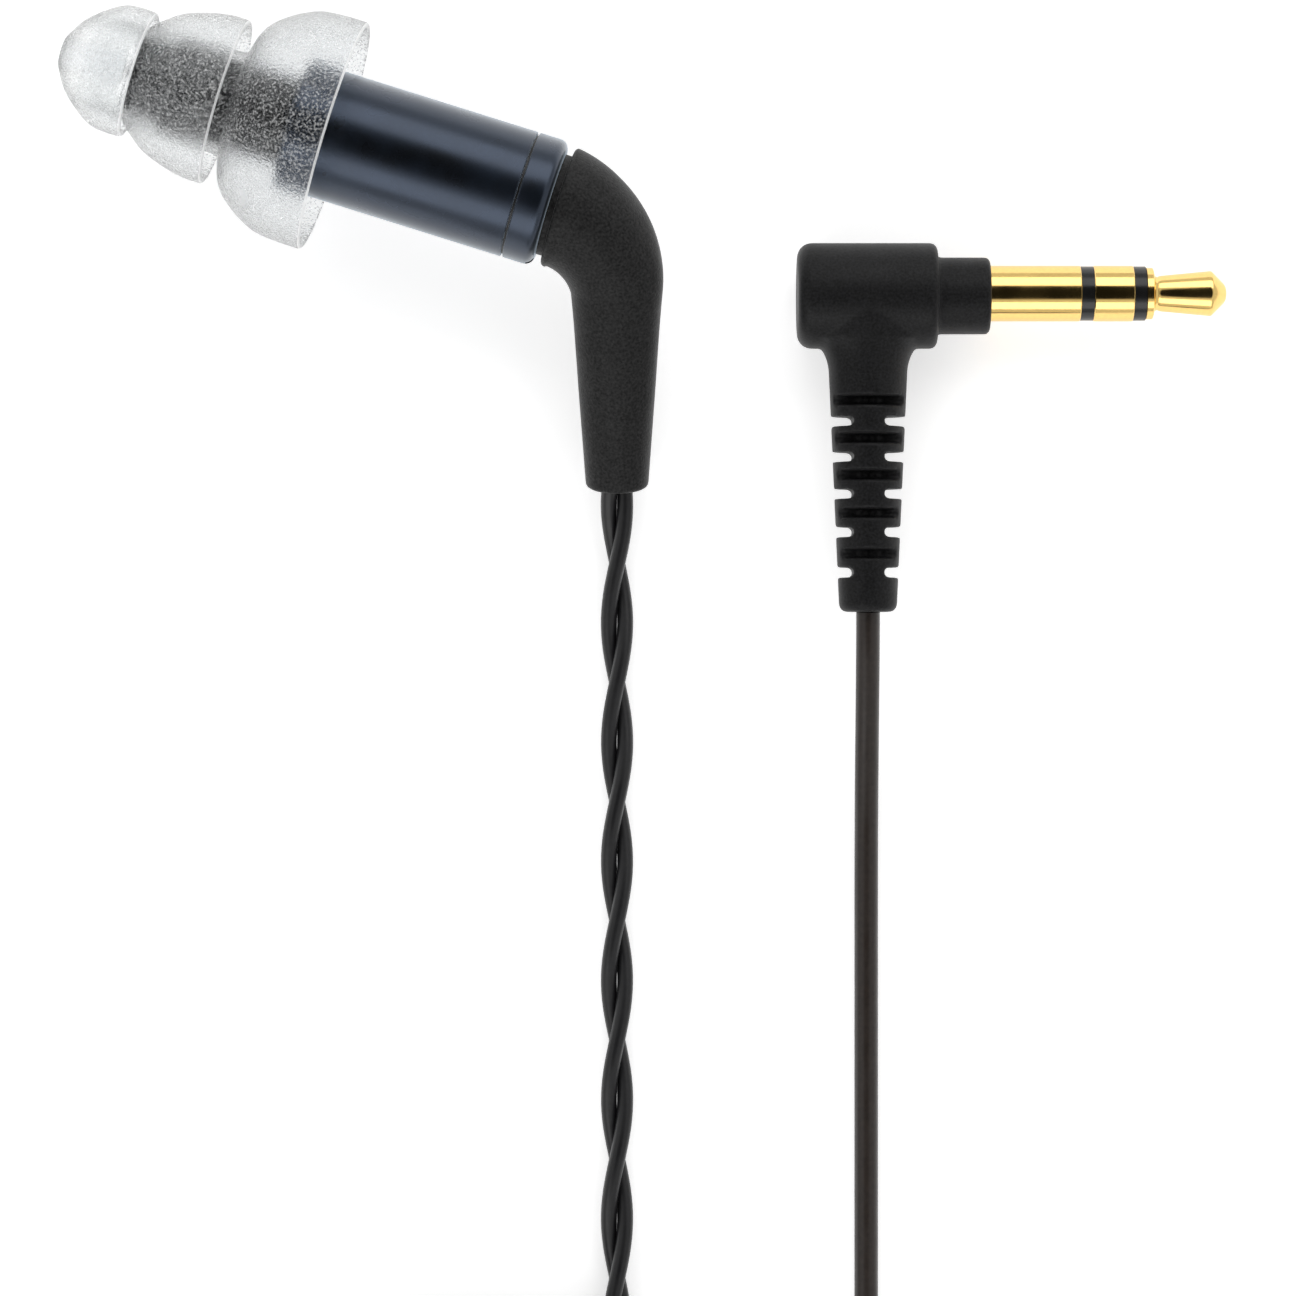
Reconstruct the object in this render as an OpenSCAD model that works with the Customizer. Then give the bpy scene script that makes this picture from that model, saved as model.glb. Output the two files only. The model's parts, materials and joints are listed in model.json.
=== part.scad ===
// Wired in-ear earphones laid out flat: two earpieces with triple-flange tips on
// detachable swivel leads, twisted-pair branches, a Y-splitter with a chin slider,
// a plain main cord and a right-angle 3.5 mm stereo plug. Spare cord is wound in
// two small tied coils. Millimetres, +Z up, everything rests on z = 0.

/* [Earpiece] */
// Outside diameter of the barrel
barrel_d = 8.0; // [7:0.1:9]
// Wall of the barrel
barrel_wall = 0.5; // [0.4:0.05:0.7]
// Length of the barrel and its end cap together
barrel_l = 16.6; // [15:0.1:20]
// Length of the end cap
cap_l = 1.9; // [1.6:0.1:2.4]
// Width of the groove between barrel and end cap
groove_w = 0.14; // [0.1:0.02:0.2]
// Outside diameter of the nozzle
nozzle_d = 5.24; // [4.8:0.02:5.6]
// How far the nozzle stands out of the barrel
nozzle_l = 10.3; // [9.5:0.1:12]

/* [Ear tip] */
// Wall of the silicone flanges
skin = 0.45; // [0.35:0.05:0.6]
// Outside diameter of the stem of the tip
stem_d = 6.2; // [6:0.05:6.6]
// Diameter of the sound bore at the front of the tip
sound_bore_d = 1.8; // [1.4:0.1:2.2]
// Overall radius of the largest flange, which the earpiece rests on
flange_r = 7.3; // [7.3:0.1:7.6]

/* [Swivel connector] */
// Outside diameter of the coaxial plug on the lead
coax_d = 2.5; // [2.3:0.02:2.6]
// Bore of the socket that it turns in
socket_bore_d = 2.76; // [2.76:0.02:2.9]
// Gap between the end cap and the elbow
swivel_gap = 0.45; // [0.3:0.05:0.6]

/* [Elbow] */
// Radius of the bend along its centre line
elbow_bend_r = 5.7; // [5.5:0.1:6.2]
// Angle of the bend
elbow_bend = 73.4; // [70:0.1:76]
// Length of the straight leg after the bend
elbow_leg = 12.48; // [12:0.01:14]
// Radius of the elbow where its bend ends and its leg begins
elbow_bend_end_r = 2.85; // [2.6:0.05:3.2]
// Turn of the elbow about the barrel, which brings the foot down to the table
elbow_droop = 17.9; // [14:0.1:18]

/* [Cords] */
// Overall diameter of the twisted pair
pair_d = 2.1; // [1.9:0.05:2.1]
// Diameter of the main cord
main_d = 1.5; // [1.3:0.05:1.5]
// Thickness of the ties round the coils
tie_t = 0.4; // [0.3:0.05:0.4]
// Width of the ties
tie_w = 5.0; // [4:0.5:6]

/* [Plug] */
// Diameter of the plug's contact pin
pin_d = 3.5; // [3.5:0.01:3.5]
// Diameter of the plug's head
head_d = 6.6; // [6.2:0.1:6.8]
// Diameter of the collar at the root of the pin
collar_d = 4.8; // [4.4:0.1:5.2]
// Width of the strain relief at the head
relief_top = 5.1; // [4.8:0.1:5.4]
// Width of the strain relief at the cord
relief_end = 3.6; // [3.2:0.1:4]
// Thickness of the core left between the slots
relief_core = 1.9; // [1.7:0.1:2.2]

/* [Splitter] */
// Width of the splitter and the chin slider
splitter_w = 6.8; // [6.6:0.1:7.2]
// Thickness of both
splitter_t = 3.6; // [3.6:0.1:3.6]
// Length of the splitter
splitter_l = 12.0; // [12:0.5:12]
// Length of the chin slider
slider_l = 8.0; // [6:0.5:8]

/* [Hidden] */
$fn = 48;
eps = 0.01;

// Where the left earpiece lies: the centre of the end cap's rear face, and its turn.
// The right one is the same assembly turned half way round the origin.
seat = [8.86, 64.62, flange_r];
seat_turn = -17.4;

barrel_r = barrel_d / 2;
bore_r = barrel_r - barrel_wall;
nozzle_r = nozzle_d / 2;
stem_r = stem_d / 2;
coax_r = coax_d / 2;
socket_r = socket_bore_d / 2;
socket_shell_r = 1.9;
// Radii of the inner coaxial pieces
coax_bore_r = 0.95;
centre_pin_r = 0.19;
contact_r = 0.36;
contact_bore_r = 0.22;
// Inside of the earpiece, all measured from the end cap's rear face
front_s = -barrel_l;
nozzle_tip_s = front_s - nozzle_l;
// The nozzle and the tip's stem are thinner in front of this station
nozzle_step_s = nozzle_tip_s + 2.4;
nozzle_front_r = nozzle_r - 0.3;
front_stem_r = stem_r - 0.35;
driver_r = 3.3;
driver_front_s = -13.6;
driver_rear_s = -9.4;
socket_front_s = -5.0;
spigot_s = -3.6;
plug_mouth_s = -3.8;
plug_rear_s = 3.0;
snap_groove_s = -2.9;
snap_groove_w = 0.4;

// Outlines of the three flanges, as [distance behind the tip's nose, radius]
nose_s = -31.55;
flange_front = [[0, 0.9], [0.2, 1.2], [0.8, 2.25], [1.8, 3.15], [2.9, 3.86], [3.9, 4.0], [4.8, 4.0]];
flange_middle = [[4.3, 2.4], [5.4, 3.6], [6.6, 4.45], [8.2, 5.0], [9.4, 5.24], [10.4, 5.25]];
flange_rear = [[10.2, 2.4], [11.5, 4.96], [12.6, 6.04], [14.3, 7.0], [15.9, 7.27], [17.4, flange_r]];

pair_r = pair_d / 2;
main_r = main_d / 2;

// Coils: centre in plan, slot radii from outside in, and number of layers
pair_coil = [0, -21.2];
pair_slots = [12.85, 10.75];
pair_layers = 4;
main_coil = [39.1, -34];
main_slots = [10.5, 9.0, 7.5];
main_layers = 4;

// Axes of the two branches through the splitter, and its height
branch_x = [19.4, 21.5];
trunk_x = 20.45;
branch_z = splitter_t / 2;
splitter_top_y = -42.5;
slider_gap = 0.5;

// Routes of the cords where they are not coiled, chosen by hand
route_left = [
    [12.9, 47.5, 2.38], [12.9, 45.4, 1.75], [12.9, 43.4, 1.27], [12.9, 41, 1.07], [12.9, 37, 1.05],
    [12.9, 31, 1.05], [12.9, 25, 1.05], [12.9, 19, 1.05], [12.9, 13, 1.05], [12.9, 6, 1.05],
    [12.9, 0, 1.05], [12.9, -6, 1.05], [12.9, -11, 1.1], [12.9, -15, 1.2],
];
route_right = [
    [-12.9, -47.5, 2.38], [-12.9, -45.4, 1.75], [-12.9, -43.2, 1.4], [-12.9, -40, 1.7],
    [-12.9, -36, 2.5], [-12.9, -32, 3.6], [-12.9, -28, 4.7],
];
route_left_tail = [
    [6, -8.35, 3.55], [9.4, -8.35, 3.55], [12.8, -8.95, 3.5], [15.8, -10.7, 3.4], [18.1, -13.35, 2.9],
    [19.2, -16.6, 2.4], [19.4, -20, 2.0], [19.4, -24, 1.8], [19.4, -29, 1.8], [19.4, -34, 1.8],
    [19.4, -38, 1.8], [19.4, -42.5, 1.8],
];
route_right_tail = [
    [6, -8.35, 7.75], [9.4, -8.35, 7.6], [13.5, -9.1, 7.1], [17.2, -11.2, 6.0], [19.9, -14.4, 4.8],
    [21.2, -17.8, 3.5], [21.5, -21, 2.4], [21.5, -24.5, 1.8], [21.5, -29, 1.8], [21.5, -34, 1.8],
    [21.5, -38, 1.8], [21.5, -42.5, 1.8],
];
route_main = [
    [20.45, -54.5, 1.8], [20.45, -55.8, 1.7], [20.5, -57, 1.5], [21, -59, 1.2], [22.5, -60.5, 0.9],
    [24.5, -61, 0.8], [26.5, -60.5, 0.75], [28, -59, 0.75], [28.6, -57, 0.75], [28.6, -53, 0.75],
    [28.6, -48, 0.75], [28.6, -43, 0.85], [28.6, -39.5, 1.0],
];
route_plug = [
    [28.6, -29, 6.8], [28.6, -25, 5.8], [28.6, -20, 4.2], [28.6, -15, 2.5], [28.6, -11, 1.4],
    [28.6, -7, 0.85], [28.6, -2, 0.75], [28.6, 4, 0.75], [28.6, 10, 0.75], [28.6, 16, 0.75],
    [28.6, 21, 0.75], [28.6, 26, 1.0], [28.6, 30.5, 1.7], [28.6, 34.5, 2.55], [28.6, 37.5, 3.12],
    [28.6, 39.5, 3.3],
];
cord_sides = 8;
elbow_sides = 24;

// Plug: stations along the pin's axis, which runs in +X at this row and height
pin_y = 59.4;
pin_z = head_d / 2;
pin_r = pin_d / 2;
// The sleeve is thicker where the moulding grips it
root_r = 1.95;
head_x = [24.16, 32.91];
collar_end_x = 36.2;
sleeve_end_x = 41.85;
ring_x = [42.65, 45.15];
tip_x = [45.9, 50.98];
// Inside the moulding: the sleeve's flange, and the nested radii from the sleeve's bore inwards
flange_x = [31, 32];
plug_flange_r = 2.3;
sleeve_bore_r = 1.3;
ring_tube_r = 1.0;
ring_bore_r = 0.7;
tip_rod_r = 0.4;
ring_root_x = 30.4;
tip_root_x = 29.8;
wire_bore_r = 0.6;
relief_x = 28.6;
relief_y = [39.5, 56.6];
slot_w = 0.62;
side_slot_y = [41.96, 44.48, 46.87, 49.17, 51.39];
face_slot_y = [43.12, 45.65, 48.02, 50.31, 52.67];

sides = ["left", "right"];
side_parts = ["ear_tip", "nozzle", "acoustic_filter", "barrel", "driver", "driver_boot", "end_cap",
    "socket_shell", "socket_insulator", "socket_contact", "lead_wires", "snap_ring", "elbow",
    "coax_shell", "coax_insulator", "coax_pin"];
cord_parts = ["cord_left", "cord_right", "cord_left_tail", "cord_right_tail", "cord_main", "cord_plug",
    "coil_pair", "coil_main", "ties_pair", "ties_main", "splitter_shell", "splitter_core",
    "chin_slider", "plug_overmould", "plug_sleeve", "plug_rear_insulator", "plug_ring",
    "plug_front_insulator", "plug_tip", "plug_solder_tags", "plug_conductors"];

// ---- helpers ---------------------------------------------------------------

function unit(v) = v / norm(v);
function headings(path) =
    [for (i = [0:len(path) - 1]) unit(path[min(i + 1, len(path) - 1)] - path[max(i - 1, 0)])];
function ring_points(centre, ahead, r, n) =
    let (across = unit(cross(ahead, [0, 0, 1])), up = cross(across, ahead))
    [for (k = [0:n - 1]) centre + r * (cos(360 * k / n) * across + sin(360 * k / n) * up)];

// A closed tube along a path, with one radius and one heading per point
module sweep(path, radii, ahead, n) {
    last = len(path) - 1;
    polyhedron(
        points = [for (i = [0:last]) each ring_points(path[i], ahead[i], radii[i], n)],
        faces = concat(
            [[for (k = [n - 1:-1:0]) k]],
            [[for (k = [0:n - 1]) last * n + k]],
            [for (i = [0:last - 1]) for (k = [0:n - 1])
                [i * n + k, i * n + (k + 1) % n, (i + 1) * n + (k + 1) % n, (i + 1) * n + k]]
        )
    );
}

module cord(path, r) {
    sweep(path, [for (p = path) r], headings(path), cord_sides);
}

// A shape turned about the X axis from an outline of [x, radius] points
module turned(outline) {
    rotate([0, 90, 0]) rotate_extrude() polygon([for (p = outline) [p[1], p[0]]]);
}

// A tube along X from one station to another
module sleeve_x(from, to, outer, inner) {
    turned([[from, inner], [to, inner], [to, outer], [from, outer]]);
}

module rod_x(from, to, r) {
    translate([from, 0, 0]) rotate([0, 90, 0]) cylinder(h = to - from, r = r);
}

// Stands an earpiece piece, modelled along X from its end cap, where it lies
module place(side) {
    rotate([0, 0, side == "left" ? 0 : 180])
        translate(seat) rotate([0, 0, seat_turn]) children();
}

module on_pin() {
    translate([0, pin_y, pin_z]) children();
}

// ---- earpiece --------------------------------------------------------------

// One flange of the tip: its outside outline, backed by the same curve a skin inside
module flange(outline) {
    inside = [for (i = [len(outline) - 1:-1:0]) [outline[i][0] + skin * 0.6, outline[i][1] - skin]];
    translate([nose_s, 0, 0]) turned(concat(outline, inside));
}

module ear_tip() {
    stem_rear_s = front_s - 0.3;
    color([0.82, 0.84, 0.84, 0.6]) difference() {
        union() {
            flange(flange_front);
            flange(flange_middle);
            flange(flange_rear);
            rod_x(nose_s + 1.4, nozzle_tip_s - 0.4, front_stem_r - 0.5);
            rod_x(nozzle_tip_s - 0.5, nozzle_step_s + 0.2, front_stem_r);
            rod_x(nozzle_step_s - 0.6, stem_rear_s, stem_r);
        }
        rod_x(nose_s - 1, nozzle_tip_s + 1, sound_bore_d / 2);
        rod_x(nozzle_tip_s - 0.05, nozzle_step_s + 0.1, nozzle_front_r + 0.04);
        rod_x(nozzle_step_s - 0.05, stem_rear_s + 1, nozzle_r + 0.04);
    }
}

module nozzle() {
    color([0.09, 0.09, 0.1])
        turned([[nozzle_tip_s, 1.9], [nozzle_tip_s, nozzle_front_r], [nozzle_step_s, nozzle_front_r],
            [nozzle_step_s, nozzle_r], [front_s, nozzle_r], [front_s, bore_r],
            [front_s + 1.5, bore_r], [front_s + 1.5, 1.9]]);
}

module acoustic_filter() {
    color([0.45, 0.45, 0.47]) rod_x(nozzle_tip_s + 0.3, nozzle_tip_s + 0.7, 1.9);
}

module barrel() {
    rim = 0.2;
    rear_s = -cap_l - groove_w;
    color([0.08, 0.1, 0.19])
        turned([[front_s, bore_r], [front_s, barrel_r - rim], [front_s + rim, barrel_r],
            [rear_s - 0.06, barrel_r], [rear_s, barrel_r - 0.06], [rear_s, bore_r]]);
}

module driver() {
    color([0.7, 0.6, 0.35]) union() {
        rod_x(driver_front_s, driver_rear_s, driver_r);
        rod_x(driver_front_s - 0.5, driver_front_s, driver_r - 1.2);
    }
}

module driver_boot() {
    color([0.13, 0.13, 0.13]) sleeve_x(driver_front_s + 0.4, driver_rear_s - 0.4, bore_r, driver_r);
}

module end_cap() {
    round_r = 0.6;
    notch = [0.55, 0.5, 1.0];
    color([0.08, 0.1, 0.19]) difference() {
        turned(concat(
            [[spigot_s, socket_shell_r], [spigot_s, bore_r], [-cap_l, bore_r],
                [-cap_l, barrel_r - 0.06], [-cap_l + 0.06, barrel_r]],
            [for (a = [0:15:90]) [-round_r + round_r * sin(a), barrel_r - round_r + round_r * cos(a)]],
            [[0, socket_shell_r]]
        ));
        translate([-notch[0] / 2 + 0.1, -barrel_r + 0.3, 0]) cube(notch, center = true);
    }
}

module socket_shell() {
    color([0.8, 0.65, 0.35]) sleeve_x(socket_front_s, 0, socket_shell_r, socket_r);
}

module socket_insulator() {
    color([0.93, 0.93, 0.9]) sleeve_x(socket_front_s, socket_front_s + 1, socket_r, contact_r);
}

module socket_contact() {
    color([0.85, 0.68, 0.3]) difference() {
        rod_x(socket_front_s - 0.8, -2.4, contact_r);
        rod_x(socket_front_s + 1, -2, contact_bore_r);
    }
}

module lead_wires() {
    wire_r = 0.2;
    color([0.75, 0.2, 0.15]) union() {
        rod_x(driver_rear_s, socket_front_s - 0.8, wire_r);
        translate([0, (socket_shell_r + socket_r) / 2, 0]) rod_x(driver_rear_s, socket_front_s, wire_r);
    }
}

// ---- swivel lead -----------------------------------------------------------

module snap_ring() {
    play = 0.02;
    split = 0.5;
    color([0.75, 0.75, 0.72]) difference() {
        sleeve_x(snap_groove_s + play, snap_groove_s + snap_groove_w - play, socket_r - 0.05, coax_r - 0.14);
        translate([snap_groove_s, 0, coax_r]) cube([2, split, 1], center = true);
    }
}

module coax_shell() {
    groove_r = coax_r - 0.17;
    groove_end = snap_groove_s + snap_groove_w;
    color([0.83, 0.67, 0.33])
        turned([[plug_mouth_s, coax_bore_r], [plug_mouth_s, coax_r], [snap_groove_s, coax_r],
            [snap_groove_s, groove_r], [groove_end, groove_r], [groove_end, coax_r],
            [plug_rear_s, coax_r], [plug_rear_s, coax_bore_r]]);
}

module coax_insulator() {
    color([0.93, 0.93, 0.9]) sleeve_x(-2.2, plug_rear_s, coax_bore_r, centre_pin_r);
}

module coax_pin() {
    color([0.85, 0.68, 0.3]) rod_x(-3.6, plug_rear_s + 0.4, centre_pin_r);
}

// Rings of the elbow, each as [centre, radius, heading]. They fan out from the flat face round a
// pivot, follow the bend from fan_end on, and then run down the straight leg.
elbow_face_r = 3.8;
elbow_edge = 0.3;
fan_end = 24;
fan_x = swivel_gap + elbow_edge;
fan_pivot = [fan_x, -elbow_bend_r + fan_x / tan(fan_end)];
bend_end = [elbow_bend_r * sin(elbow_bend), -elbow_bend_r * (1 - cos(elbow_bend)), 0];
leg_dir = [cos(elbow_bend), -sin(elbow_bend), 0];
leg_profile = [[0.18, 2.66], [0.52, 2.38], [0.8, 2.13], [0.97, 1.98], [1, 1.6]];

function bend_radius(a) = elbow_face_r - (elbow_face_r - elbow_bend_end_r) * pow(a / elbow_bend, 1.15);
function fan_ring(a) =
    let (
        away = [sin(a), cos(a)],
        off = fan_pivot + [0, elbow_bend_r],
        along = off * away,
        outer_r = elbow_bend_r + bend_radius(a),
        far = sqrt(along * along - off * off + outer_r * outer_r) - along,
        near_face = -fan_pivot[1] - elbow_face_r,
        near_bend = elbow_bend_r - bend_radius(fan_end) - norm(off),
        near = near_face + (near_bend - near_face) * a / fan_end,
        middle = fan_pivot + away * (near + far) / 2
    )
    [[middle[0], middle[1], 0], (far - near) / 2, [cos(a), -sin(a), 0]];
function bend_ring(a) =
    [[elbow_bend_r * sin(a), -elbow_bend_r * (1 - cos(a)), 0], bend_radius(a), [cos(a), -sin(a), 0]];

elbow_rings = concat(
    [[[swivel_gap, 0, 0], elbow_face_r - elbow_edge, [1, 0, 0]]],
    [for (a = [0, 8, 16]) fan_ring(a)],
    [for (i = [0:6]) bend_ring(fan_end + (elbow_bend - fan_end) * i / 6)],
    [for (l = leg_profile) [bend_end + l[0] * elbow_leg * leg_dir, l[1], leg_dir]]
);

module elbow() {
    color([0.13, 0.13, 0.13]) rotate([elbow_droop, 0, 0]) difference() {
        sweep([for (ring = elbow_rings) ring[0]], [for (ring = elbow_rings) ring[1]],
            [for (ring = elbow_rings) ring[2]], elbow_sides);
        rod_x(0, plug_rear_s, coax_r);
        rod_x(0, plug_rear_s + 0.4, centre_pin_r);
    }
}

// ---- cords, coils and ties -------------------------------------------------

module cord_left() { color([0.07, 0.07, 0.07]) cord(route_left, pair_r); }
module cord_right() { color([0.07, 0.07, 0.07]) cord(route_right, pair_r); }
module cord_left_tail() { color([0.07, 0.07, 0.07]) cord(route_left_tail, pair_r); }
module cord_right_tail() { color([0.07, 0.07, 0.07]) cord(route_right_tail, pair_r); }
module cord_main() { color([0.1, 0.08, 0.07]) cord(route_main, main_r); }
module cord_plug() { color([0.1, 0.08, 0.07]) cord(route_plug, main_r); }

module coil_pair() {
    color([0.07, 0.07, 0.07]) translate([pair_coil[0], pair_coil[1], tie_t]) rotate_extrude()
        translate([pair_slots[1] - pair_r, 0])
            square([pair_slots[0] - pair_slots[1] + pair_d, pair_layers * pair_d]);
}

// The main coil has one more turn on top of its outermost slot
module coil_main() {
    inner = main_slots[2] - main_r;
    outer = main_slots[0] + main_r;
    top = main_layers * main_d;
    color([0.1, 0.08, 0.07]) translate([main_coil[0], main_coil[1], tie_t]) rotate_extrude()
        polygon([[inner, 0], [outer, 0], [outer, top + main_d], [outer - main_d, top + main_d],
            [outer - main_d, top], [inner, top]]);
}

// A strap round a coil's section, centred on one bearing
module tie(coil, inner, outer, height, bearing) {
    sweep_a = tie_w / outer * 180 / PI;
    translate([coil[0], coil[1], 0]) rotate([0, 0, bearing - sweep_a / 2])
        rotate_extrude(angle = sweep_a) difference() {
            translate([inner - tie_t, 0]) square([outer - inner + 2 * tie_t, height + 2 * tie_t]);
            translate([inner, tie_t]) square([outer - inner, height]);
        }
}

module ties_pair() {
    color([0.1, 0.1, 0.11]) for (bearing = [45, 225])
        tie(pair_coil, pair_slots[1] - pair_r, pair_slots[0] + pair_r, pair_layers * pair_d, bearing);
}

module ties_main() {
    color([0.1, 0.1, 0.11]) for (bearing = [90, 270])
        tie(main_coil, main_slots[2] - main_r, main_slots[0] + main_r,
            (main_layers + 1) * main_d, bearing);
}

// ---- splitter and slider ---------------------------------------------------

// A bar with round long edges, along -Y from its top end
module rounded_bar(top_y, length, width, thick) {
    translate([trunk_x, top_y, branch_z]) rotate([90, 0, 0]) linear_extrude(length) union() {
        square([width - thick, thick], center = true);
        for (side = [-1, 1]) translate([side * (width - thick) / 2, 0]) circle(d = thick);
    }
}

module splitter_shell() {
    wall = 0.5;
    color([0.12, 0.12, 0.13]) difference() {
        rounded_bar(splitter_top_y, splitter_l, splitter_w, splitter_t);
        rounded_bar(splitter_top_y + eps, splitter_l + 2 * eps, splitter_w - 2 * wall, splitter_t - 2 * wall);
    }
}

module splitter_core() {
    wall = 0.5;
    color([0.2, 0.2, 0.2])
        rounded_bar(splitter_top_y, splitter_l, splitter_w - 2 * wall, splitter_t - 2 * wall);
}

module chin_slider() {
    rest_y = splitter_top_y + slider_gap + slider_l;
    slot_t = pair_d + 0.3;
    color([0.12, 0.12, 0.13]) difference() {
        rounded_bar(rest_y, slider_l, splitter_w, splitter_t);
        rounded_bar(rest_y + 1, slider_l + 2, branch_x[1] - branch_x[0] + slot_t, slot_t);
    }
}

// ---- plug ------------------------------------------------------------------

module plug_overmould() {
    round_r = 0.9;
    edge_r = 0.5;
    head_r = head_d / 2;
    relief_l = relief_y[1] - relief_y[0];
    color([0.12, 0.12, 0.13]) difference() {
        union() {
            translate([0, pin_y, pin_z]) turned(concat(
                [[head_x[0], 0]],
                [for (a = [90:-15:0])
                    [head_x[0] + round_r - round_r * sin(a), head_r - round_r + round_r * cos(a)]],
                [for (a = [0:15:90]) [head_x[1] - edge_r + edge_r * sin(a), head_r - edge_r + edge_r * cos(a)]],
                [[head_x[1], collar_d / 2], [collar_end_x - 0.3, collar_d / 2],
                    [collar_end_x, collar_d / 2 - 0.3], [collar_end_x, 0]]
            ));
            translate([relief_x, relief_y[1] + 1.5, pin_z]) rotate([90, 0, 0])
                cylinder(h = relief_l + 1.5, d1 = relief_top + 0.1, d2 = relief_end);
        }
        relief_slots();
        plug_hollow();
    }
}

// Pairs of slots that leave a core, alternately from the sides and from the faces
module relief_slots() {
    reach = 4;
    for (side = [-1, 1]) {
        for (y = side_slot_y) translate([relief_x + side * (relief_core + reach) / 2, y, pin_z])
            cube([reach, slot_w, 2 * reach], center = true);
        for (y = face_slot_y) translate([relief_x, y, pin_z + side * (relief_core + reach) / 2])
            cube([2 * reach, slot_w, reach], center = true);
    }
}

// What the plug's inner pieces take out of the overmould
tag_box = [[27.4, 31.0], [-1.5, 1.5], [-1.3, 1.3]];
module plug_hollow() {
    on_pin() {
        rod_x(flange_x[0], collar_end_x + 1, root_r);
        rod_x(flange_x[0], flange_x[1], plug_flange_r);
        translate([tag_box[0][0], tag_box[1][0], tag_box[2][0]])
            cube([tag_box[0][1] - tag_box[0][0], tag_box[1][1] - tag_box[1][0], tag_box[2][1] - tag_box[2][0]]);
    }
    translate([relief_x, pin_y, pin_z]) rotate([90, 0, 0])
        cylinder(h = pin_y - relief_y[0] + 1, r = wire_bore_r);
}

module plug_sleeve() {
    color([0.86, 0.7, 0.36]) on_pin()
        turned([[flange_x[0], sleeve_bore_r], [flange_x[0], plug_flange_r], [flange_x[1], plug_flange_r],
            [flange_x[1], root_r], [collar_end_x, root_r], [collar_end_x, pin_r],
            [sleeve_end_x, pin_r], [sleeve_end_x, sleeve_bore_r]]);
}

module plug_rear_insulator() {
    color([0.08, 0.08, 0.08]) on_pin()
        turned([[flange_x[0], ring_tube_r], [flange_x[0], sleeve_bore_r], [sleeve_end_x, sleeve_bore_r],
            [sleeve_end_x, pin_r], [ring_x[0], pin_r], [ring_x[0], ring_tube_r]]);
}

module plug_ring() {
    color([0.86, 0.7, 0.36]) on_pin()
        turned([[ring_root_x, ring_bore_r], [ring_root_x, ring_tube_r], [ring_x[0], ring_tube_r],
            [ring_x[0], pin_r], [ring_x[1], pin_r], [ring_x[1], ring_bore_r]]);
}

module plug_front_insulator() {
    color([0.08, 0.08, 0.08]) on_pin()
        turned([[ring_root_x, tip_rod_r], [ring_root_x, ring_bore_r], [ring_x[1], ring_bore_r],
            [ring_x[1], pin_r], [tip_x[0], pin_r], [tip_x[0], tip_rod_r]]);
}

module plug_tip() {
    color([0.86, 0.7, 0.36]) on_pin()
        turned([[tip_root_x, 0], [tip_root_x, tip_rod_r], [tip_x[0], tip_rod_r], [tip_x[0], 1.58],
            [46.4, 1.58], [46.6, 1.1], [46.8, 1.15], [50.0, 1.42], [tip_x[1] - 0.15, 0.75],
            [tip_x[1], 0.55], [tip_x[1], 0]]);
}

// Three small tags: under the flange of the sleeve, the ring tube and the tip rod
module plug_solder_tags() {
    color([0.75, 0.75, 0.72]) on_pin() {
        translate([28.6, 1.32, -0.5]) cube([2.4, 0.16, 1]);
        sleeve_x(29.9, 30.3, ring_tube_r, 0.72);
        sleeve_x(29.1, 29.7, ring_bore_r, tip_rod_r);
    }
}

// The three enamelled wires that come up the strain relief
module plug_conductors() {
    wire_r = 0.22;
    color([0.6, 0.3, 0.15]) for (x = [-0.35, 0, 0.35])
        translate([relief_x + x, pin_y - 1.6, pin_z]) rotate([90, 0, 0])
            cylinder(h = pin_y - 1.6 - relief_y[0], r = x == 0 ? wire_r - 0.1 : wire_r - 0.05);
}

// ---- assembly --------------------------------------------------------------

for (side = sides) place(side) {
    ear_tip();
    nozzle();
    acoustic_filter();
    barrel();
    driver();
    driver_boot();
    end_cap();
    socket_shell();
    socket_insulator();
    socket_contact();
    lead_wires();
    snap_ring();
    elbow();
    coax_shell();
    coax_insulator();
    coax_pin();
}
cord_left();
cord_right();
cord_left_tail();
cord_right_tail();
cord_main();
cord_plug();
coil_pair();
coil_main();
ties_pair();
ties_main();
splitter_shell();
splitter_core();
chin_slider();
plug_overmould();
plug_sleeve();
plug_rear_insulator();
plug_ring();
plug_front_insulator();
plug_tip();
plug_solder_tags();
plug_conductors();
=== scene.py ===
"""Looks for a pair of wired in-ear earphones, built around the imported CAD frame.

Lengths inside the classes are millimetres, as on a drawing. Each finished mesh is
scaled to metres once, when it is handed over.
"""

from __future__ import annotations

import json
import logging
import math
from collections.abc import Sequence
from dataclasses import dataclass, field
from enum import Enum

import bmesh
import bpy
from mathutils import Matrix, Vector

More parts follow.
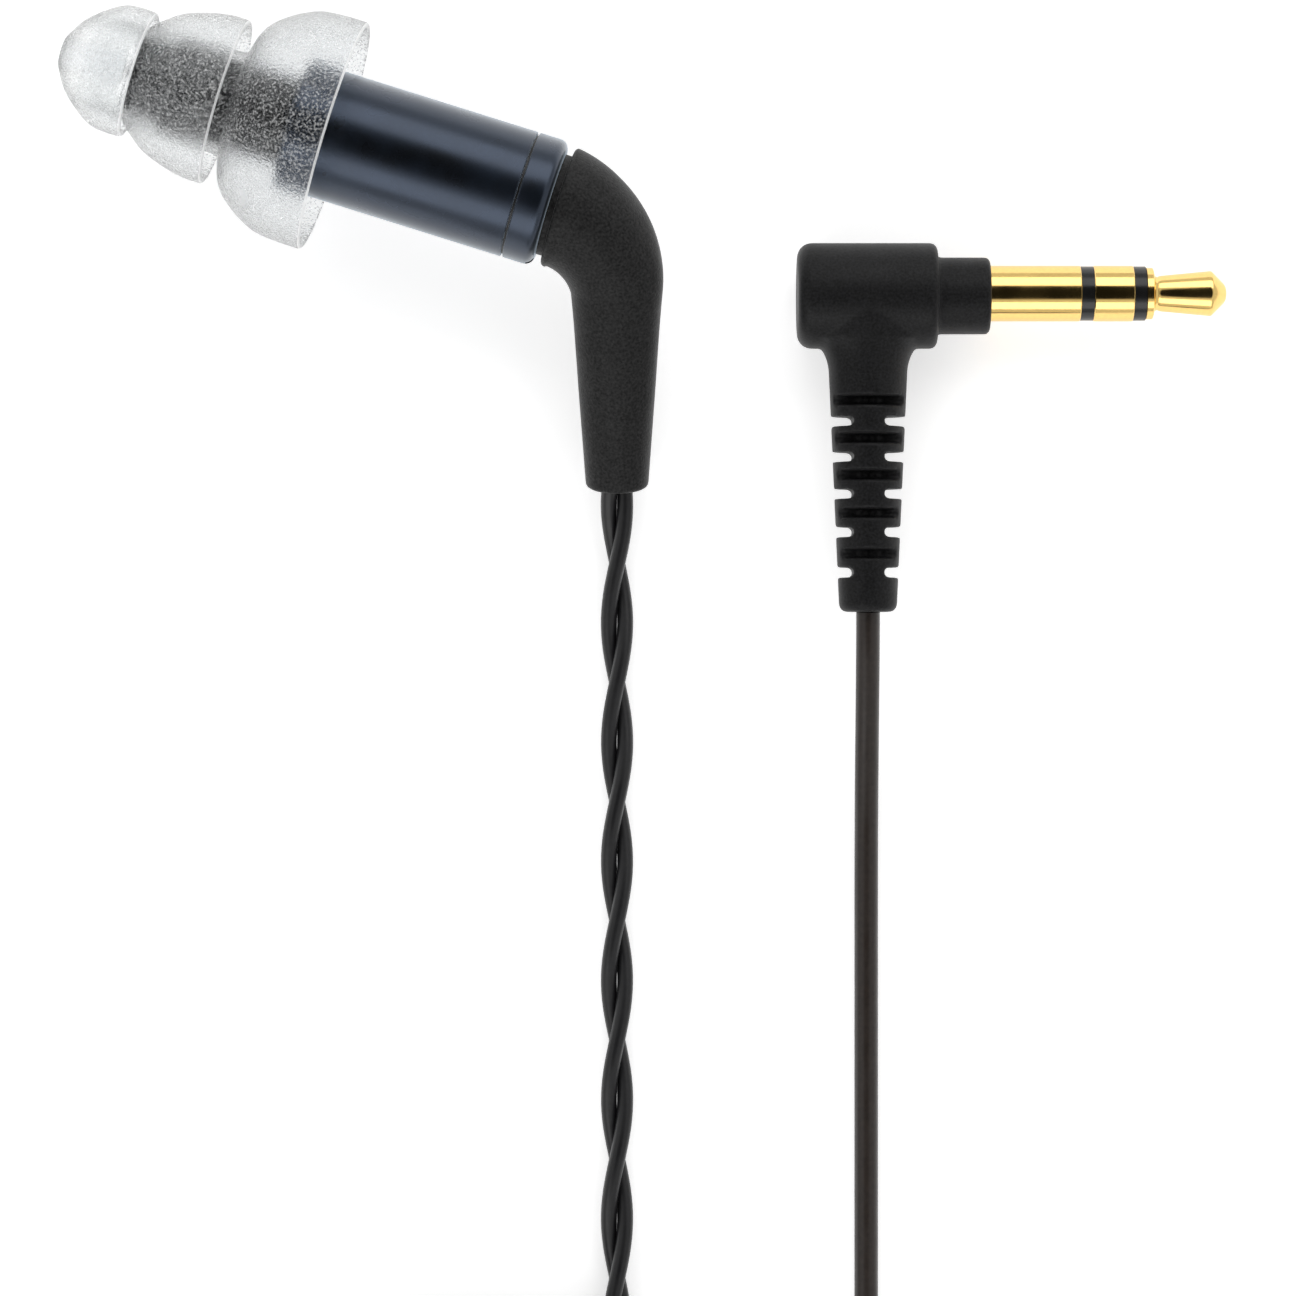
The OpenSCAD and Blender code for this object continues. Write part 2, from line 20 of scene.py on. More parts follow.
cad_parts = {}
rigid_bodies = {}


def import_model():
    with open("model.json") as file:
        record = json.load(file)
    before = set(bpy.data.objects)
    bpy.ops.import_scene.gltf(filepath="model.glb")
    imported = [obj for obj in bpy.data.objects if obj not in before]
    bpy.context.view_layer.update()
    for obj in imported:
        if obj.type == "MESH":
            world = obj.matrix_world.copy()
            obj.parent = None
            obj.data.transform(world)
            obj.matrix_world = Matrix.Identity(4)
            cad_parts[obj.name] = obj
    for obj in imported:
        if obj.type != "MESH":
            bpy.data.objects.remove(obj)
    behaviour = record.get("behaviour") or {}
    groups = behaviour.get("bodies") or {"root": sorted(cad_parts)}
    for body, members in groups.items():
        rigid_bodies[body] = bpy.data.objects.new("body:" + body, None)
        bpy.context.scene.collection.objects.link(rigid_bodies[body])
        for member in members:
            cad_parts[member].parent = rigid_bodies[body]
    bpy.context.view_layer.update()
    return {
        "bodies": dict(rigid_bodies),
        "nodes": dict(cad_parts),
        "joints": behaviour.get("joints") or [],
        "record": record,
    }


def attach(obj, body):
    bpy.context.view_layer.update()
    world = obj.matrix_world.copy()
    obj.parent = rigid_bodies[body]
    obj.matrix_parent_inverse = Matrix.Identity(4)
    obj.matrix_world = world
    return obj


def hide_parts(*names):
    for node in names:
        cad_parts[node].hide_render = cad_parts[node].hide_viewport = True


MM = 0.001
log = logging.getLogger("earphones")
Colour = tuple[float, float, float]
Profile = list[tuple[float, float]]
Route = list[tuple[float, float, float]]


# ---------------------------------------------------------------- finishes


# The grey values of a noise that count as low and as high.
NOISE_SPAN = (0.3, 0.7)
FROST_SPAN = (0.46, 0.66)
# The least roughness of any finish, and the size of the patches that handling has polished.
SMOOTHEST = 0.02
HANDLED_MM = 2.2
# The scale along Z that draws a noise out into lathe marks.
LATHE_STRETCH = 0.06


class Grain(Enum):
    """The surface texture that a finish carries."""

    SATIN = "satin"
    WRINKLE = "wrinkle"
    TURNED = "turned"
    WEAVE = "weave"


@dataclass(frozen=True)
class Finish:
    """One finish: its colour, gloss and grain, built as a node material."""

    name: str
    slot: str
    colour: Colour
    roughness: float
    metallic: float = 0.0
    specular: float = 0.5
    transmission: float = 0.0
    ior: float = 1.45
    coat: float = 0.0
    coat_roughness: float = 0.03
    sheen: float = 0.0
    sheen_roughness: float = 0.5
    sheen_tint: Colour = (1.0, 1.0, 1.0)
    grain: Grain = Grain.SATIN
    grain_mm: float = 0.2
    grain_depth_mm: float = 0.01
    grain_strength: float = 0.5
    variation: float = 0.12
    patch: float = 4.0
    roughness_spread: float = 0.06
    frost: tuple[float, float] | None = None

    def build(self) -> bpy.types.Material:
        """Make the material.

        Returns:
            A Principled material whose colour, roughness and bump come from its grain.
        """
        material = bpy.data.materials.new(self.name)
        material.use_nodes = True
        tree = material.node_tree
        shader = tree.nodes["Principled BSDF"]
        for socket, value in (
                ("Metallic", self.metallic), ("Specular IOR Level", self.specular),
                ("Transmission Weight", self.transmission), ("IOR", self.ior),
                ("Coat Weight", self.coat), ("Coat Roughness", self.coat_roughness),
                ("Sheen Weight", self.sheen), ("Sheen Roughness", self.sheen_roughness),
                ("Sheen Tint", (*self.sheen_tint, 1.0))):
            shader.inputs[socket].default_value = value
        place = tree.nodes.new("ShaderNodeTexCoord").outputs["Object"]
        self._colour(tree, shader, place)
        self._roughness(tree, shader, place)
        if self.frost:
            self._frost(tree, shader, place)
        self._bump(tree, shader, place)
        return material

    def _noise(self, tree: bpy.types.NodeTree, place: bpy.types.NodeSocket, size_mm: float,
               detail: float = 3.0, distortion: float = 0.0) -> bpy.types.NodeSocket:
        """Add a noise texture.

        Args:
            tree: The material's node tree.
            place: The coordinates that it reads.
            size_mm: The size of one feature.
            detail: Octaves of finer detail.
            distortion: How far the pattern is swirled.

        Returns:
            The texture's grey value.
        """
        noise = tree.nodes.new("ShaderNodeTexNoise")
        noise.inputs["Scale"].default_value = 1.0 / (size_mm * MM)
        noise.inputs["Detail"].default_value = detail
        noise.inputs["Distortion"].default_value = distortion
        tree.links.new(place, noise.inputs["Vector"])
        return noise.outputs["Fac"]

    def _range(self, tree: bpy.types.NodeTree, value: bpy.types.NodeSocket, low: float,
               high: float, span: tuple[float, float] = NOISE_SPAN) -> bpy.types.NodeSocket:
        """Map a grey value onto a range.

        Args:
            tree: The material's node tree.
            value: The grey value.
            low: The result where the value is low.
            high: The result where the value is high.
            span: What counts as low and as high.

        Returns:
            The mapped value.
        """
        mapped = tree.nodes.new("ShaderNodeMapRange")
        mapped.inputs["From Min"].default_value = span[0]
        mapped.inputs["From Max"].default_value = span[1]
        mapped.inputs["To Min"].default_value = low
        mapped.inputs["To Max"].default_value = high
        tree.links.new(value, mapped.inputs["Value"])
        return mapped.outputs["Result"]

    def _colour(self, tree: bpy.types.NodeTree, shader: bpy.types.Node,
                place: bpy.types.NodeSocket) -> None:
        """Vary the base colour a little over the surface.

        Args:
            tree: The material's node tree.
            shader: The Principled node.
            place: The coordinates to read.
        """
        ramp = tree.nodes.new("ShaderNodeValToRGB")
        shades = (1.0 - self.variation, 1.0 + self.variation)
        for stop, grey, shade in zip(ramp.color_ramp.elements, NOISE_SPAN, shades):
            stop.position = grey
            stop.color = (*(min(1.0, c * shade) for c in self.colour), 1.0)
        tree.links.new(self._noise(tree, place, self.grain_mm * self.patch), ramp.inputs["Fac"])
        tree.links.new(ramp.outputs["Color"], shader.inputs["Base Color"])

    def _roughness(self, tree: bpy.types.NodeTree, shader: bpy.types.Node,
                   place: bpy.types.NodeSocket) -> None:
        """Vary the roughness: handled patches are a little shinier.

        Args:
            tree: The material's node tree.
            shader: The Principled node.
            place: The coordinates to read.
        """
        low = max(SMOOTHEST, self.roughness - self.roughness_spread)
        high = min(1.0, self.roughness + self.roughness_spread)
        patches = self._noise(tree, place, HANDLED_MM, 4.0)
        tree.links.new(self._range(tree, patches, low, high), shader.inputs["Roughness"])

    def _frost(self, tree: bpy.types.NodeTree, shader: bpy.types.Node,
               place: bpy.types.NodeSocket) -> None:
        """Speckle a clear material with milky grains.

        Args:
            tree: The material's node tree.
            shader: The Principled node.
            place: The coordinates to read.
        """
        clearest, milkiest = self.frost
        grains = self._noise(tree, place, self.grain_mm, 2.0)
        share = self._range(tree, grains, clearest, milkiest, FROST_SPAN)
        tree.links.new(share, shader.inputs["Transmission Weight"])

    def _bump(self, tree: bpy.types.NodeTree, shader: bpy.types.Node,
              place: bpy.types.NodeSocket) -> None:
        """Raise the grain as a bump.

        Args:
            tree: The material's node tree.
            shader: The Principled node.
            place: The coordinates to read.
        """
        if self.grain is Grain.WEAVE:
            height = self._woven(tree, place)
        elif self.grain is Grain.WRINKLE:
            height = self._noise(tree, place, self.grain_mm, 2.0, 0.6)
        elif self.grain is Grain.TURNED:
            mapping = tree.nodes.new("ShaderNodeMapping")
            mapping.inputs["Scale"].default_value = (1.0, 1.0, LATHE_STRETCH)
            tree.links.new(place, mapping.inputs["Vector"])
            height = self._noise(tree, mapping.outputs["Vector"], self.grain_mm, 4.0)
        else:
            height = self._noise(tree, place, self.grain_mm, 4.0)
        bump = tree.nodes.new("ShaderNodeBump")
        bump.inputs["Strength"].default_value = self.grain_strength
        bump.inputs["Distance"].default_value = self.grain_depth_mm * MM
        tree.links.new(height, bump.inputs["Height"])
        tree.links.new(bump.outputs["Normal"], shader.inputs["Normal"])

    def _woven(self, tree: bpy.types.NodeTree, place: bpy.types.NodeSocket) -> bpy.types.NodeSocket:
        """Cross three sets of ribs into a weave that shows on every face.

        Args:
            tree: The material's node tree.
            place: The coordinates to read.

        Returns:
            The weave's height.
        """
        ribs = []
        for direction in ("X", "Y", "Z"):
            wave = tree.nodes.new("ShaderNodeTexWave")
            wave.bands_direction = direction
            wave.inputs["Scale"].default_value = 0.32 / (self.grain_mm * MM)
            wave.inputs["Distortion"].default_value = 0.6
            tree.links.new(place, wave.inputs["Vector"])
            ribs.append(wave.outputs["Fac"])
        height = ribs[0]
        for rib in ribs[1:]:
            add = tree.nodes.new("ShaderNodeMath")
            add.operation = "ADD"
            tree.links.new(height, add.inputs[0])
            tree.links.new(rib, add.inputs[1])
            height = add.outputs["Value"]
        return height


SILICONE = Finish("frosted_silicone", "silicone", (0.97, 0.98, 0.98), 0.24, transmission=0.9, ior=1.25,
                  grain=Grain.WRINKLE, grain_mm=0.15, grain_depth_mm=0.06, grain_strength=1.0,
                  variation=0.02, roughness_spread=0.04, frost=(1.0, 0.66))
MILKY_SILICONE = Finish("milky_silicone", "silicone", (0.97, 0.98, 0.98), 0.3, transmission=0.35, ior=1.25,
                        grain_mm=0.2, grain_depth_mm=0.004, variation=0.02, roughness_spread=0.03)
CLEAR_SILICONE = Finish("clear_silicone", "silicone", (0.9, 0.91, 0.92), 0.12, transmission=1.0, ior=1.2,
                        grain_mm=0.2, grain_depth_mm=0.004, variation=0.02, roughness_spread=0.03)
ANODISED = Finish("blue_anodised", "anodised", (0.016, 0.026, 0.046), 0.3, metallic=1.0, coat=0.75,
                  coat_roughness=0.28, sheen=1.0, sheen_roughness=0.3, sheen_tint=(0.72, 0.86, 1.0),
                  grain_mm=0.06, grain_depth_mm=0.002, grain_strength=0.35, variation=0.06)
NOZZLE_BLACK = Finish("nozzle_black", "black_moulding", (0.012, 0.012, 0.013), 0.4,
                      grain_mm=0.1, grain_depth_mm=0.003)
SPLITTER_BLACK = Finish("splitter_black", "black_moulding", (0.018, 0.018, 0.02), 0.42,
                        grain_mm=0.12, grain_depth_mm=0.006)
GRAINED_RUBBER = Finish("grained_rubber", "black_rubber", (0.012, 0.012, 0.012), 0.5, specular=0.22,
                        grain=Grain.WRINKLE, grain_mm=0.16, grain_depth_mm=0.03, grain_strength=1.0,
                        sheen=0.16, sheen_roughness=0.3, variation=0.95, patch=1.0)
GOLD = Finish("gold_plate", "gold", (0.91, 0.63, 0.22), 0.14, metallic=1.0, grain=Grain.TURNED,
              grain_mm=0.05, grain_depth_mm=0.001, grain_strength=0.3, variation=0.04,
              roughness_spread=0.04)
BRIGHT_STEEL = Finish("spring_steel", "spring_steel", (0.62, 0.62, 0.6), 0.22, metallic=1.0,
                      grain=Grain.TURNED, grain_mm=0.05, grain_depth_mm=0.001)
MESH_STEEL = Finish("filter_mesh", "filter_mesh", (0.4, 0.4, 0.42), 0.35, metallic=1.0,
                    grain=Grain.WEAVE, grain_mm=0.12, grain_depth_mm=0.05, grain_strength=1.0)
DRIVER_BRASS = Finish("driver_brass", "driver_can", (0.62, 0.5, 0.26), 0.3, metallic=1.0,
                      grain=Grain.TURNED, grain_mm=0.08, grain_depth_mm=0.003)
WHITE_INSULATOR = Finish("white_insulator", "white_insulator", (0.82, 0.82, 0.78), 0.4,
                         grain_mm=0.1, grain_depth_mm=0.003)
ENAMEL = Finish("enamelled_wire", "enamel", (0.45, 0.1, 0.05), 0.25, coat=0.4,
                grain_mm=0.1, grain_depth_mm=0.002)
PAIR_JACKET = Finish("pair_jacket", "pair_jacket", (0.008, 0.008, 0.009), 0.38,
                     grain_mm=0.08, grain_depth_mm=0.004, variation=0.2)
MAIN_JACKET = Finish("main_jacket", "main_jacket", (0.022, 0.016, 0.013), 0.36,
                     grain_mm=0.08, grain_depth_mm=0.004, variation=0.2)
STRAP = Finish("tie_strap", "tie_strap", (0.02, 0.02, 0.022), 0.75, sheen=0.4, grain=Grain.WEAVE,
               grain_mm=0.3, grain_depth_mm=0.06, grain_strength=0.8)
PLUG_BLACK = Finish("plug_moulding", "plug_moulding", (0.006, 0.006, 0.0065), 0.5, specular=0.22,
                    grain=Grain.WRINKLE, grain_mm=0.15, grain_depth_mm=0.014, grain_strength=0.6,
                    sheen=0.04, variation=0.9, patch=1.0)
RING_BLACK = Finish("ring_black", "black_insulator", (0.008, 0.008, 0.008), 0.2,
                    grain_mm=0.1, grain_depth_mm=0.001)
TINNED = Finish("tinned_tags", "tinned_brass", (0.6, 0.6, 0.58), 0.3, metallic=1.0,
                grain_mm=0.1, grain_depth_mm=0.004)

# The material slots of an ear tip, after the frosted one.
CLEAR_SLOT, MILKY_SLOT = 1, 2


class Wardrobe:
    """Builds each finish once and dresses pieces with it."""

    def __init__(self) -> None:
        """Start with no materials built."""
        self._built: dict[str, bpy.types.Material] = {}

    def material(self, finish: Finish) -> bpy.types.Material:
        """Give a finish's material.

        Args:
            finish: The finish wanted.

        Returns:
            Its material, built on first use.
        """
        if finish.name not in self._built:
            self._built[finish.name] = finish.build()
        return self._built[finish.name]

    def dress(self, piece: bpy.types.Object, finish: Finish) -> None:
        """Put a finish on a piece or a CAD node.

        Args:
            piece: The object to dress.
            finish: The finish that it gets.
        """
        if piece.material_slots:
            for slot in piece.material_slots:
                slot.material = self.material(finish)
        else:
            piece.data.materials.append(self.material(finish))


# ---------------------------------------------------------------- mesh helpers


def smooth_profile(points: Sequence[tuple[float, ...]], steps: int = 6) -> list[tuple[float, ...]]:
    """Round an outline or a route through its points with a Catmull-Rom curve.

    Args:
        points: The points to pass through, in any number of dimensions.
        steps: Points made for each given one.

    Returns:
        The denser, smooth list.
    """
    made = []
    last = len(points) - 1
    for i in range(last):
        a, b, c, d = (Vector(points[max(0, min(last, j))]) for j in (i - 1, i, i + 1, i + 2))
        for k in range(steps):
            t = k / steps
            made.append(tuple(0.5 * ((2 * b) + (c - a) * t + (2 * a - 5 * b + 4 * c - d) * t * t
                                     + (3 * b - a - 3 * c + d) * t * t * t)))
    made.append(tuple(Vector(points[last])))
    return made


def arc(centre: tuple[float, float], radius: float, start: float, end: float, steps: int = 5) -> Profile:
    """Give points on an arc of an outline.

    Args:
        centre: The arc's centre.
        radius: Its radius.
        start: The first bearing in degrees.
        end: The last bearing in degrees.
        steps: How many pieces it is cut into.

    Returns:
        The points from start to end.
    """
    turns = [math.radians(start + (end - start) * k / steps) for k in range(steps + 1)]
    return [(centre[0] + radius * math.cos(a), centre[1] + radius * math.sin(a)) for a in turns]


def spun(outline: Sequence[tuple[float, float]], steps: int = 96, closed: bool = True) -> bmesh.types.BMesh:
    """Spin an outline of (station, radius) points about the X axis.

    Args:
        outline: The outline, in order.
        steps: Facets in a full turn.
        closed: Whether the last point joins the first, as on a wall that clears the axis.

    Returns:
        A closed solid of revolution.
    """
    bm = bmesh.new()
    verts = [bm.verts.new((x, 0.0, r)) for x, r in outline]
    pairs = list(zip(verts, verts[1:]))
    if closed:
        pairs.append((verts[-1], verts[0]))
    edges = [bm.edges.new(pair) for pair in pairs]
    bmesh.ops.spin(bm, geom=verts + edges, cent=(0, 0, 0), axis=(1, 0, 0), angle=math.tau,
                   steps=steps, use_merge=True)
    bmesh.ops.remove_doubles(bm, verts=bm.verts, dist=1e-4)
    bmesh.ops.recalc_face_normals(bm, faces=bm.faces)
    return bm


@dataclass(frozen=True)
class Ring:
    """One ring of a loft: where it is, its half-widths, and where the loft is heading."""

    centre: Vector
    across: float
    ahead: Vector
    tall: float | None = None

    def matrix(self) -> Matrix:
        """Give the ring's place and size, its Z along the loft.

        Returns:
            The matrix that turns a unit circle into the ring.
        """
        size = Matrix.Diagonal((self.across, self.tall or self.across, 1.0, 1.0))
        return Matrix.Translation(self.centre) @ heading(self.ahead) @ size


def heading(ahead: Vector) -> Matrix:
    """Give the turn that points Z along a direction, with X level.

    Args:
        ahead: The direction.

    Returns:
        The turn.
    """
    ahead = ahead.normalized()
    across = ahead.cross(Vector((0, 0, 1)))
    if across.length < 1e-6:
        across = Vector((1, 0, 0))
    across.normalize()
    return Matrix((across, ahead.cross(across), ahead)).transposed().to_4x4()


def lofted(rings: Sequence[Ring], segments: int = 48) -> bmesh.types.BMesh:
    """Extrude a ring through a list of rings.

    Args:
        rings: The rings, in order.
        segments: Points round a ring.

    Returns:
        A closed solid.
    """
    bm = bmesh.new()
    placed = rings[0].matrix()
    bmesh.ops.create_circle(bm, cap_ends=True, segments=segments, radius=1.0, matrix=placed)
    edges = bm.edges[:]
    for ring in rings[1:]:
        grown = bmesh.ops.extrude_edge_only(bm, edges=edges)["geom"]
        edges = [g for g in grown if isinstance(g, bmesh.types.BMEdge)]
        verts = [g for g in grown if isinstance(g, bmesh.types.BMVert)]
        goal = ring.matrix()
        bmesh.ops.transform(bm, matrix=goal @ placed.inverted(), verts=verts)
        placed = goal
    bmesh.ops.contextual_create(bm, geom=edges)
    bmesh.ops.recalc_face_normals(bm, faces=bm.faces)
    return bm


def ring_frames(centres: Sequence[Vector]) -> list[Matrix]:
    """Give a frame at each point of a line, its Z along the line and its X level.

    Args:
        centres: The line's points.

    Returns:
        One matrix for each point.
    """
    last = len(centres) - 1
    return [Matrix.Translation(centre) @ heading(centres[min(i + 1, last)] - centres[max(i - 1, 0)])
            for i, centre in enumerate(centres)]


def box(low: Sequence[float], high: Sequence[float]) -> bmesh.types.BMesh:
    """Make a box between two corners.

    Args:
        low: Its lowest corner.
        high: Its highest corner.

    Returns:
        The box.
    """
    bm = bmesh.new()
    bmesh.ops.create_cube(bm, size=1.0)
    centre = [(a + b) / 2 for a, b in zip(low, high)]
    size = [b - a for a, b in zip(low, high)]
    bmesh.ops.scale(bm, vec=size, verts=bm.verts)
    bmesh.ops.translate(bm, vec=centre, verts=bm.verts)
    return bm


def merged(parts: Sequence[bmesh.types.BMesh]) -> bmesh.types.BMesh:
    """Put several shells into one mesh.

    Args:
        parts: The shells, which are freed.

    Returns:
        One mesh that holds them all.
    """
    whole = bmesh.new()
    for part in parts:
        mesh = bpy.data.meshes.new("part")
        part.to_mesh(mesh)
        part.free()
        whole.from_mesh(mesh)
        bpy.data.meshes.remove(mesh)
    return whole


def applied(bm: bmesh.types.BMesh, *modifiers: tuple[str, dict]) -> bmesh.types.BMesh:
    """Run modifiers over a mesh and keep their result.

    Args:
        bm: The mesh, which is freed.
        modifiers: A modifier type and its settings, in order.

    Returns:
        The finished mesh.
    """
    mesh = bpy.data.meshes.new("work")
    bm.to_mesh(mesh)
    bm.free()
    worker = bpy.data.objects.new("work", mesh)
    bpy.context.scene.collection.objects.link(worker)
    for kind, settings in modifiers:
        modifier = worker.modifiers.new(kind.lower(), kind)
        for key, value in settings.items():
            setattr(modifier, key, value)
    shape = bpy.data.meshes.new_from_object(worker.evaluated_get(bpy.context.evaluated_depsgraph_get()))
    made = bmesh.new()
    made.from_mesh(shape)
    bpy.data.objects.remove(worker)
    bpy.data.meshes.remove(shape)
    return made


def cut(bm: bmesh.types.BMesh, cutter: bmesh.types.BMesh) -> bmesh.types.BMesh:
    """Cut one closed solid out of another.

    Args:
        bm: The solid, which is freed.
        cutter: What is taken away, which is freed.

    Returns:
        What is left.
    """
    mesh = bpy.data.meshes.new("cutter")
    cutter.to_mesh(mesh)
    cutter.free()
    tool = bpy.data.objects.new("cutter", mesh)
    bpy.context.scene.collection.objects.link(tool)
    made = applied(bm, ("BOOLEAN", {"operation": "DIFFERENCE", "solver": "EXACT", "object": tool,
                                    "use_self": True}))
    bpy.data.objects.remove(tool)
    bpy.data.meshes.remove(mesh)
    return made


def finished(name: str, bm: bmesh.types.BMesh, place: Matrix | None = None,
             sharp_deg: float = 35.0) -> bpy.types.Object:
    """Turn a mesh in millimetres into a scene object in metres, at the origin.

    Args:
        name: The piece's name.
        bm: The mesh, which is freed.
        place: Where it stands, in millimetres.
        sharp_deg: Edges sharper than this keep a crisp line.

    Returns:
        The new object.
    """
    if place is not None:
        bmesh.ops.transform(bm, matrix=place, verts=bm.verts)
    bmesh.ops.scale(bm, vec=(MM, MM, MM), verts=bm.verts)
    mesh = bpy.data.meshes.new(name)
    bm.to_mesh(mesh)
    bm.free()
    mesh.shade_smooth()
    mesh.set_sharp_from_angle(angle=math.radians(sharp_deg))
    piece = bpy.data.objects.new(name, mesh)
    bpy.context.scene.collection.objects.link(piece)
    return piece


# ---------------------------------------------------------------- the maker


class Maker:
    """Hands pieces over to the frame: body, replaced nodes and finish."""

    def __init__(self, frame: dict) -> None:
        """Keep the frame.
        """
        self.frame = frame
        self.wardrobe = Wardrobe()

    def add(self, piece: bpy.types.Object, body: str, finish: Finish, *nodes: str) -> bpy.types.Object:
        """Dress a piece, let it ride, and hide the CAD nodes that it stands for.

        Args:
            piece: The new piece.
            body: The body that it rides on.
            finish: Its finish.
            nodes: CAD nodes that it replaces.

        Returns:
            The same piece.
        """
        self.wardrobe.dress(piece, finish)
        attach(piece, body)
        if nodes:
            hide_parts(*nodes)
        log.info("%s rides on %s", piece.name, body)
        return piece

    def dress_node(self, node: str, finish: Finish) -> None:
        """Give a CAD node that stays its finish.

        Args:
            node: The node's name.
            finish: Its finish.
        """
        self.wardrobe.dress(self.frame["nodes"][node], finish)

    def seat(self, side: str) -> Matrix:
        """Give the place of an earpiece: X along its barrel towards the lead.

        Args:
            side: Left or right.

        Returns:
            The matrix, in millimetres.
        """
        joint = next(j for j in self.frame["record"]["behaviour"]["joints"] if j["name"] == f"swivel_{side}")
        along = Vector(joint["axis"]).normalized()
        up = Vector((0, 0, 1))
        turn = Matrix((along, up.cross(along), up)).transposed().to_4x4()
        return Matrix.Translation(Vector(joint["pos_m"]) / MM) @ turn


# ---------------------------------------------------------------- earpiece


@dataclass
class Earpiece:
    """One earpiece: ear tip, nozzle, barrel and end cap, with what they hold."""

    side: str
    barrel_r: float = 4.0
    bore_r: float = 3.5
    front: float = -16.6
    front_round: float = 0.2
    cap: float = 1.9
    cap_spigot: float = 3.6
    cap_round: float = 0.6
    groove: float = 0.14
    groove_depth: float = 0.2
    seam_round: float = 0.07
    gasket_play: float = 0.01
    socket_r: float = 1.9
    nozzle_r: float = 2.62
    nozzle_end: float = -26.9
    nozzle_step: float = -24.5
    nozzle_front_r: float = 2.32
    nozzle_bore: float = 1.9
    nozzle_root: float = 1.5
    mouth_round: float = 0.25
    stem_r: float = 3.08
    front_stem_r: float = 2.74
    stem_gap: float = 0.3
    tip_play: float = 0.02
    nose: float = -31.55
    skin: float = 0.42
    skirt_root: float = 0.12
    throat: Profile = field(default_factory=lambda: [(0.4, 1.3), (1.2, 0.95)])
    front_flange: Profile = field(default_factory=lambda: [
        (0.0, 0.95), (0.25, 1.4), (0.85, 2.3), (1.8, 3.15), (2.9, 3.84), (3.9, 4.0), (4.8, 3.98)])
    middle_flange: Profile = field(default_factory=lambda: [
        (4.7, 2.95), (5.4, 3.6), (6.6, 4.45), (8.2, 5.0), (9.4, 5.22), (10.4, 5.24)])
    rear_flange: Profile = field(default_factory=lambda: [
        (11.1, 3.3), (11.6, 4.96), (12.6, 6.04), (14.3, 7.0), (15.9, 7.25), (17.4, 7.28)])

    def build(self, maker: Maker) -> None:
        """Build and dress every piece of this earpiece.

        Args:
            maker: Where the pieces are handed over.
        """
        place = maker.seat(self.side)
        body = f"earpiece_{self.side}"
        tip = maker.add(finished(f"silicone_tip_{self.side}", self.ear_tip(), place, sharp_deg=60.0),
                        f"ear_tip_{self.side}", SILICONE, f"ear_tip_{self.side}")
        tip.data.materials.append(maker.wardrobe.material(CLEAR_SILICONE))
        tip.data.materials.append(maker.wardrobe.material(MILKY_SILICONE))
        maker.add(finished(f"sound_nozzle_{self.side}", self.nozzle(), place),
                  body, NOZZLE_BLACK, f"nozzle_{self.side}")
        maker.add(finished(f"barrel_shell_{self.side}", self.barrel(), place),
                  body, ANODISED, f"barrel_{self.side}")
        maker.add(finished(f"cap_{self.side}", self.end_cap(), place),
                  body, ANODISED, f"end_cap_{self.side}")
        maker.add(finished(f"seam_gasket_{self.side}", self.gasket(), place), body, NOZZLE_BLACK)
        for node, finish in (("acoustic_filter", MESH_STEEL), ("driver", DRIVER_BRASS),
                             ("driver_boot", GRAINED_RUBBER), ("socket_shell", GOLD),
                             ("socket_insulator", WHITE_INSULATOR), ("socket_contact", GOLD),
                             ("lead_wires", ENAMEL)):
            maker.dress_node(f"{node}_{self.side}", finish)

    def skirt(self, outline: Profile) -> Profile:
        """Give one flange's section: out along its outside, round the rim, back inside.

        Args:
            outline: The outside, from its root to its rim.

        Returns:
            The section's points, from root to root.
        """
        outside = smooth_profile(outline, 8)
        inside = []
        for i in range(len(outside) - 1, -1, -1):
            near = outside[max(0, i - 1)]
            far = outside[min(len(outside) - 1, i + 1)]
            run = Vector((far[0] - near[0], far[1] - near[1])).normalized()
            inside.append((outside[i][0] + run.y * self.skin, outside[i][1] - run.x * self.skin))
        tip, back = Vector(outside[-1]), Vector(inside[0])
        middle = (tip + back) / 2
        rim = arc((middle.x, middle.y), (tip - back).length / 2, 90.0, -90.0, 8)[1:-1]
        return [(self.nose + x, r) for x, r in [*outside, *rim, *inside]]

    def ear_tip(self) -> bmesh.types.BMesh:
        """Model the triple-flange tip as one closed turned section.

        Returns:
            The tip's mesh.
        """
        outline = []
        for flange, stem_r in ((self.front_flange, self.front_stem_r), (self.middle_flange, self.stem_r),
                               (self.rear_flange, self.stem_r)):
            outline += self._until(self.skirt(flange), stem_r)
        stem_end = self.front - self.stem_gap
        play = self.tip_play
        outline += [(stem_end, self.stem_r), (stem_end, self.nozzle_r + play),
                    (self.nozzle_step - play, self.nozzle_r + play),
                    (self.nozzle_step - play, self.nozzle_front_r + play),
                    (self.nozzle_end - play, self.nozzle_front_r + play),
                    *((self.nozzle_end - ahead, radius) for ahead, radius in self.throat)]
        tip = spun(outline, 128)
        for face in tip.faces:
            at = face.calc_center_median()
            out = math.hypot(at.y, at.z)
            faces_in = face.normal.y * at.y + face.normal.z * at.z < 0
            on_rim = face.normal.x > 0.3 and out > self.stem_r + 0.5
            on_stem = at.x > self.nozzle_end - 0.5 and out < self.stem_r + play
            if on_rim and not faces_in:
                face.material_index = MILKY_SLOT
            elif faces_in or on_stem:
                face.material_index = CLEAR_SLOT
        return tip

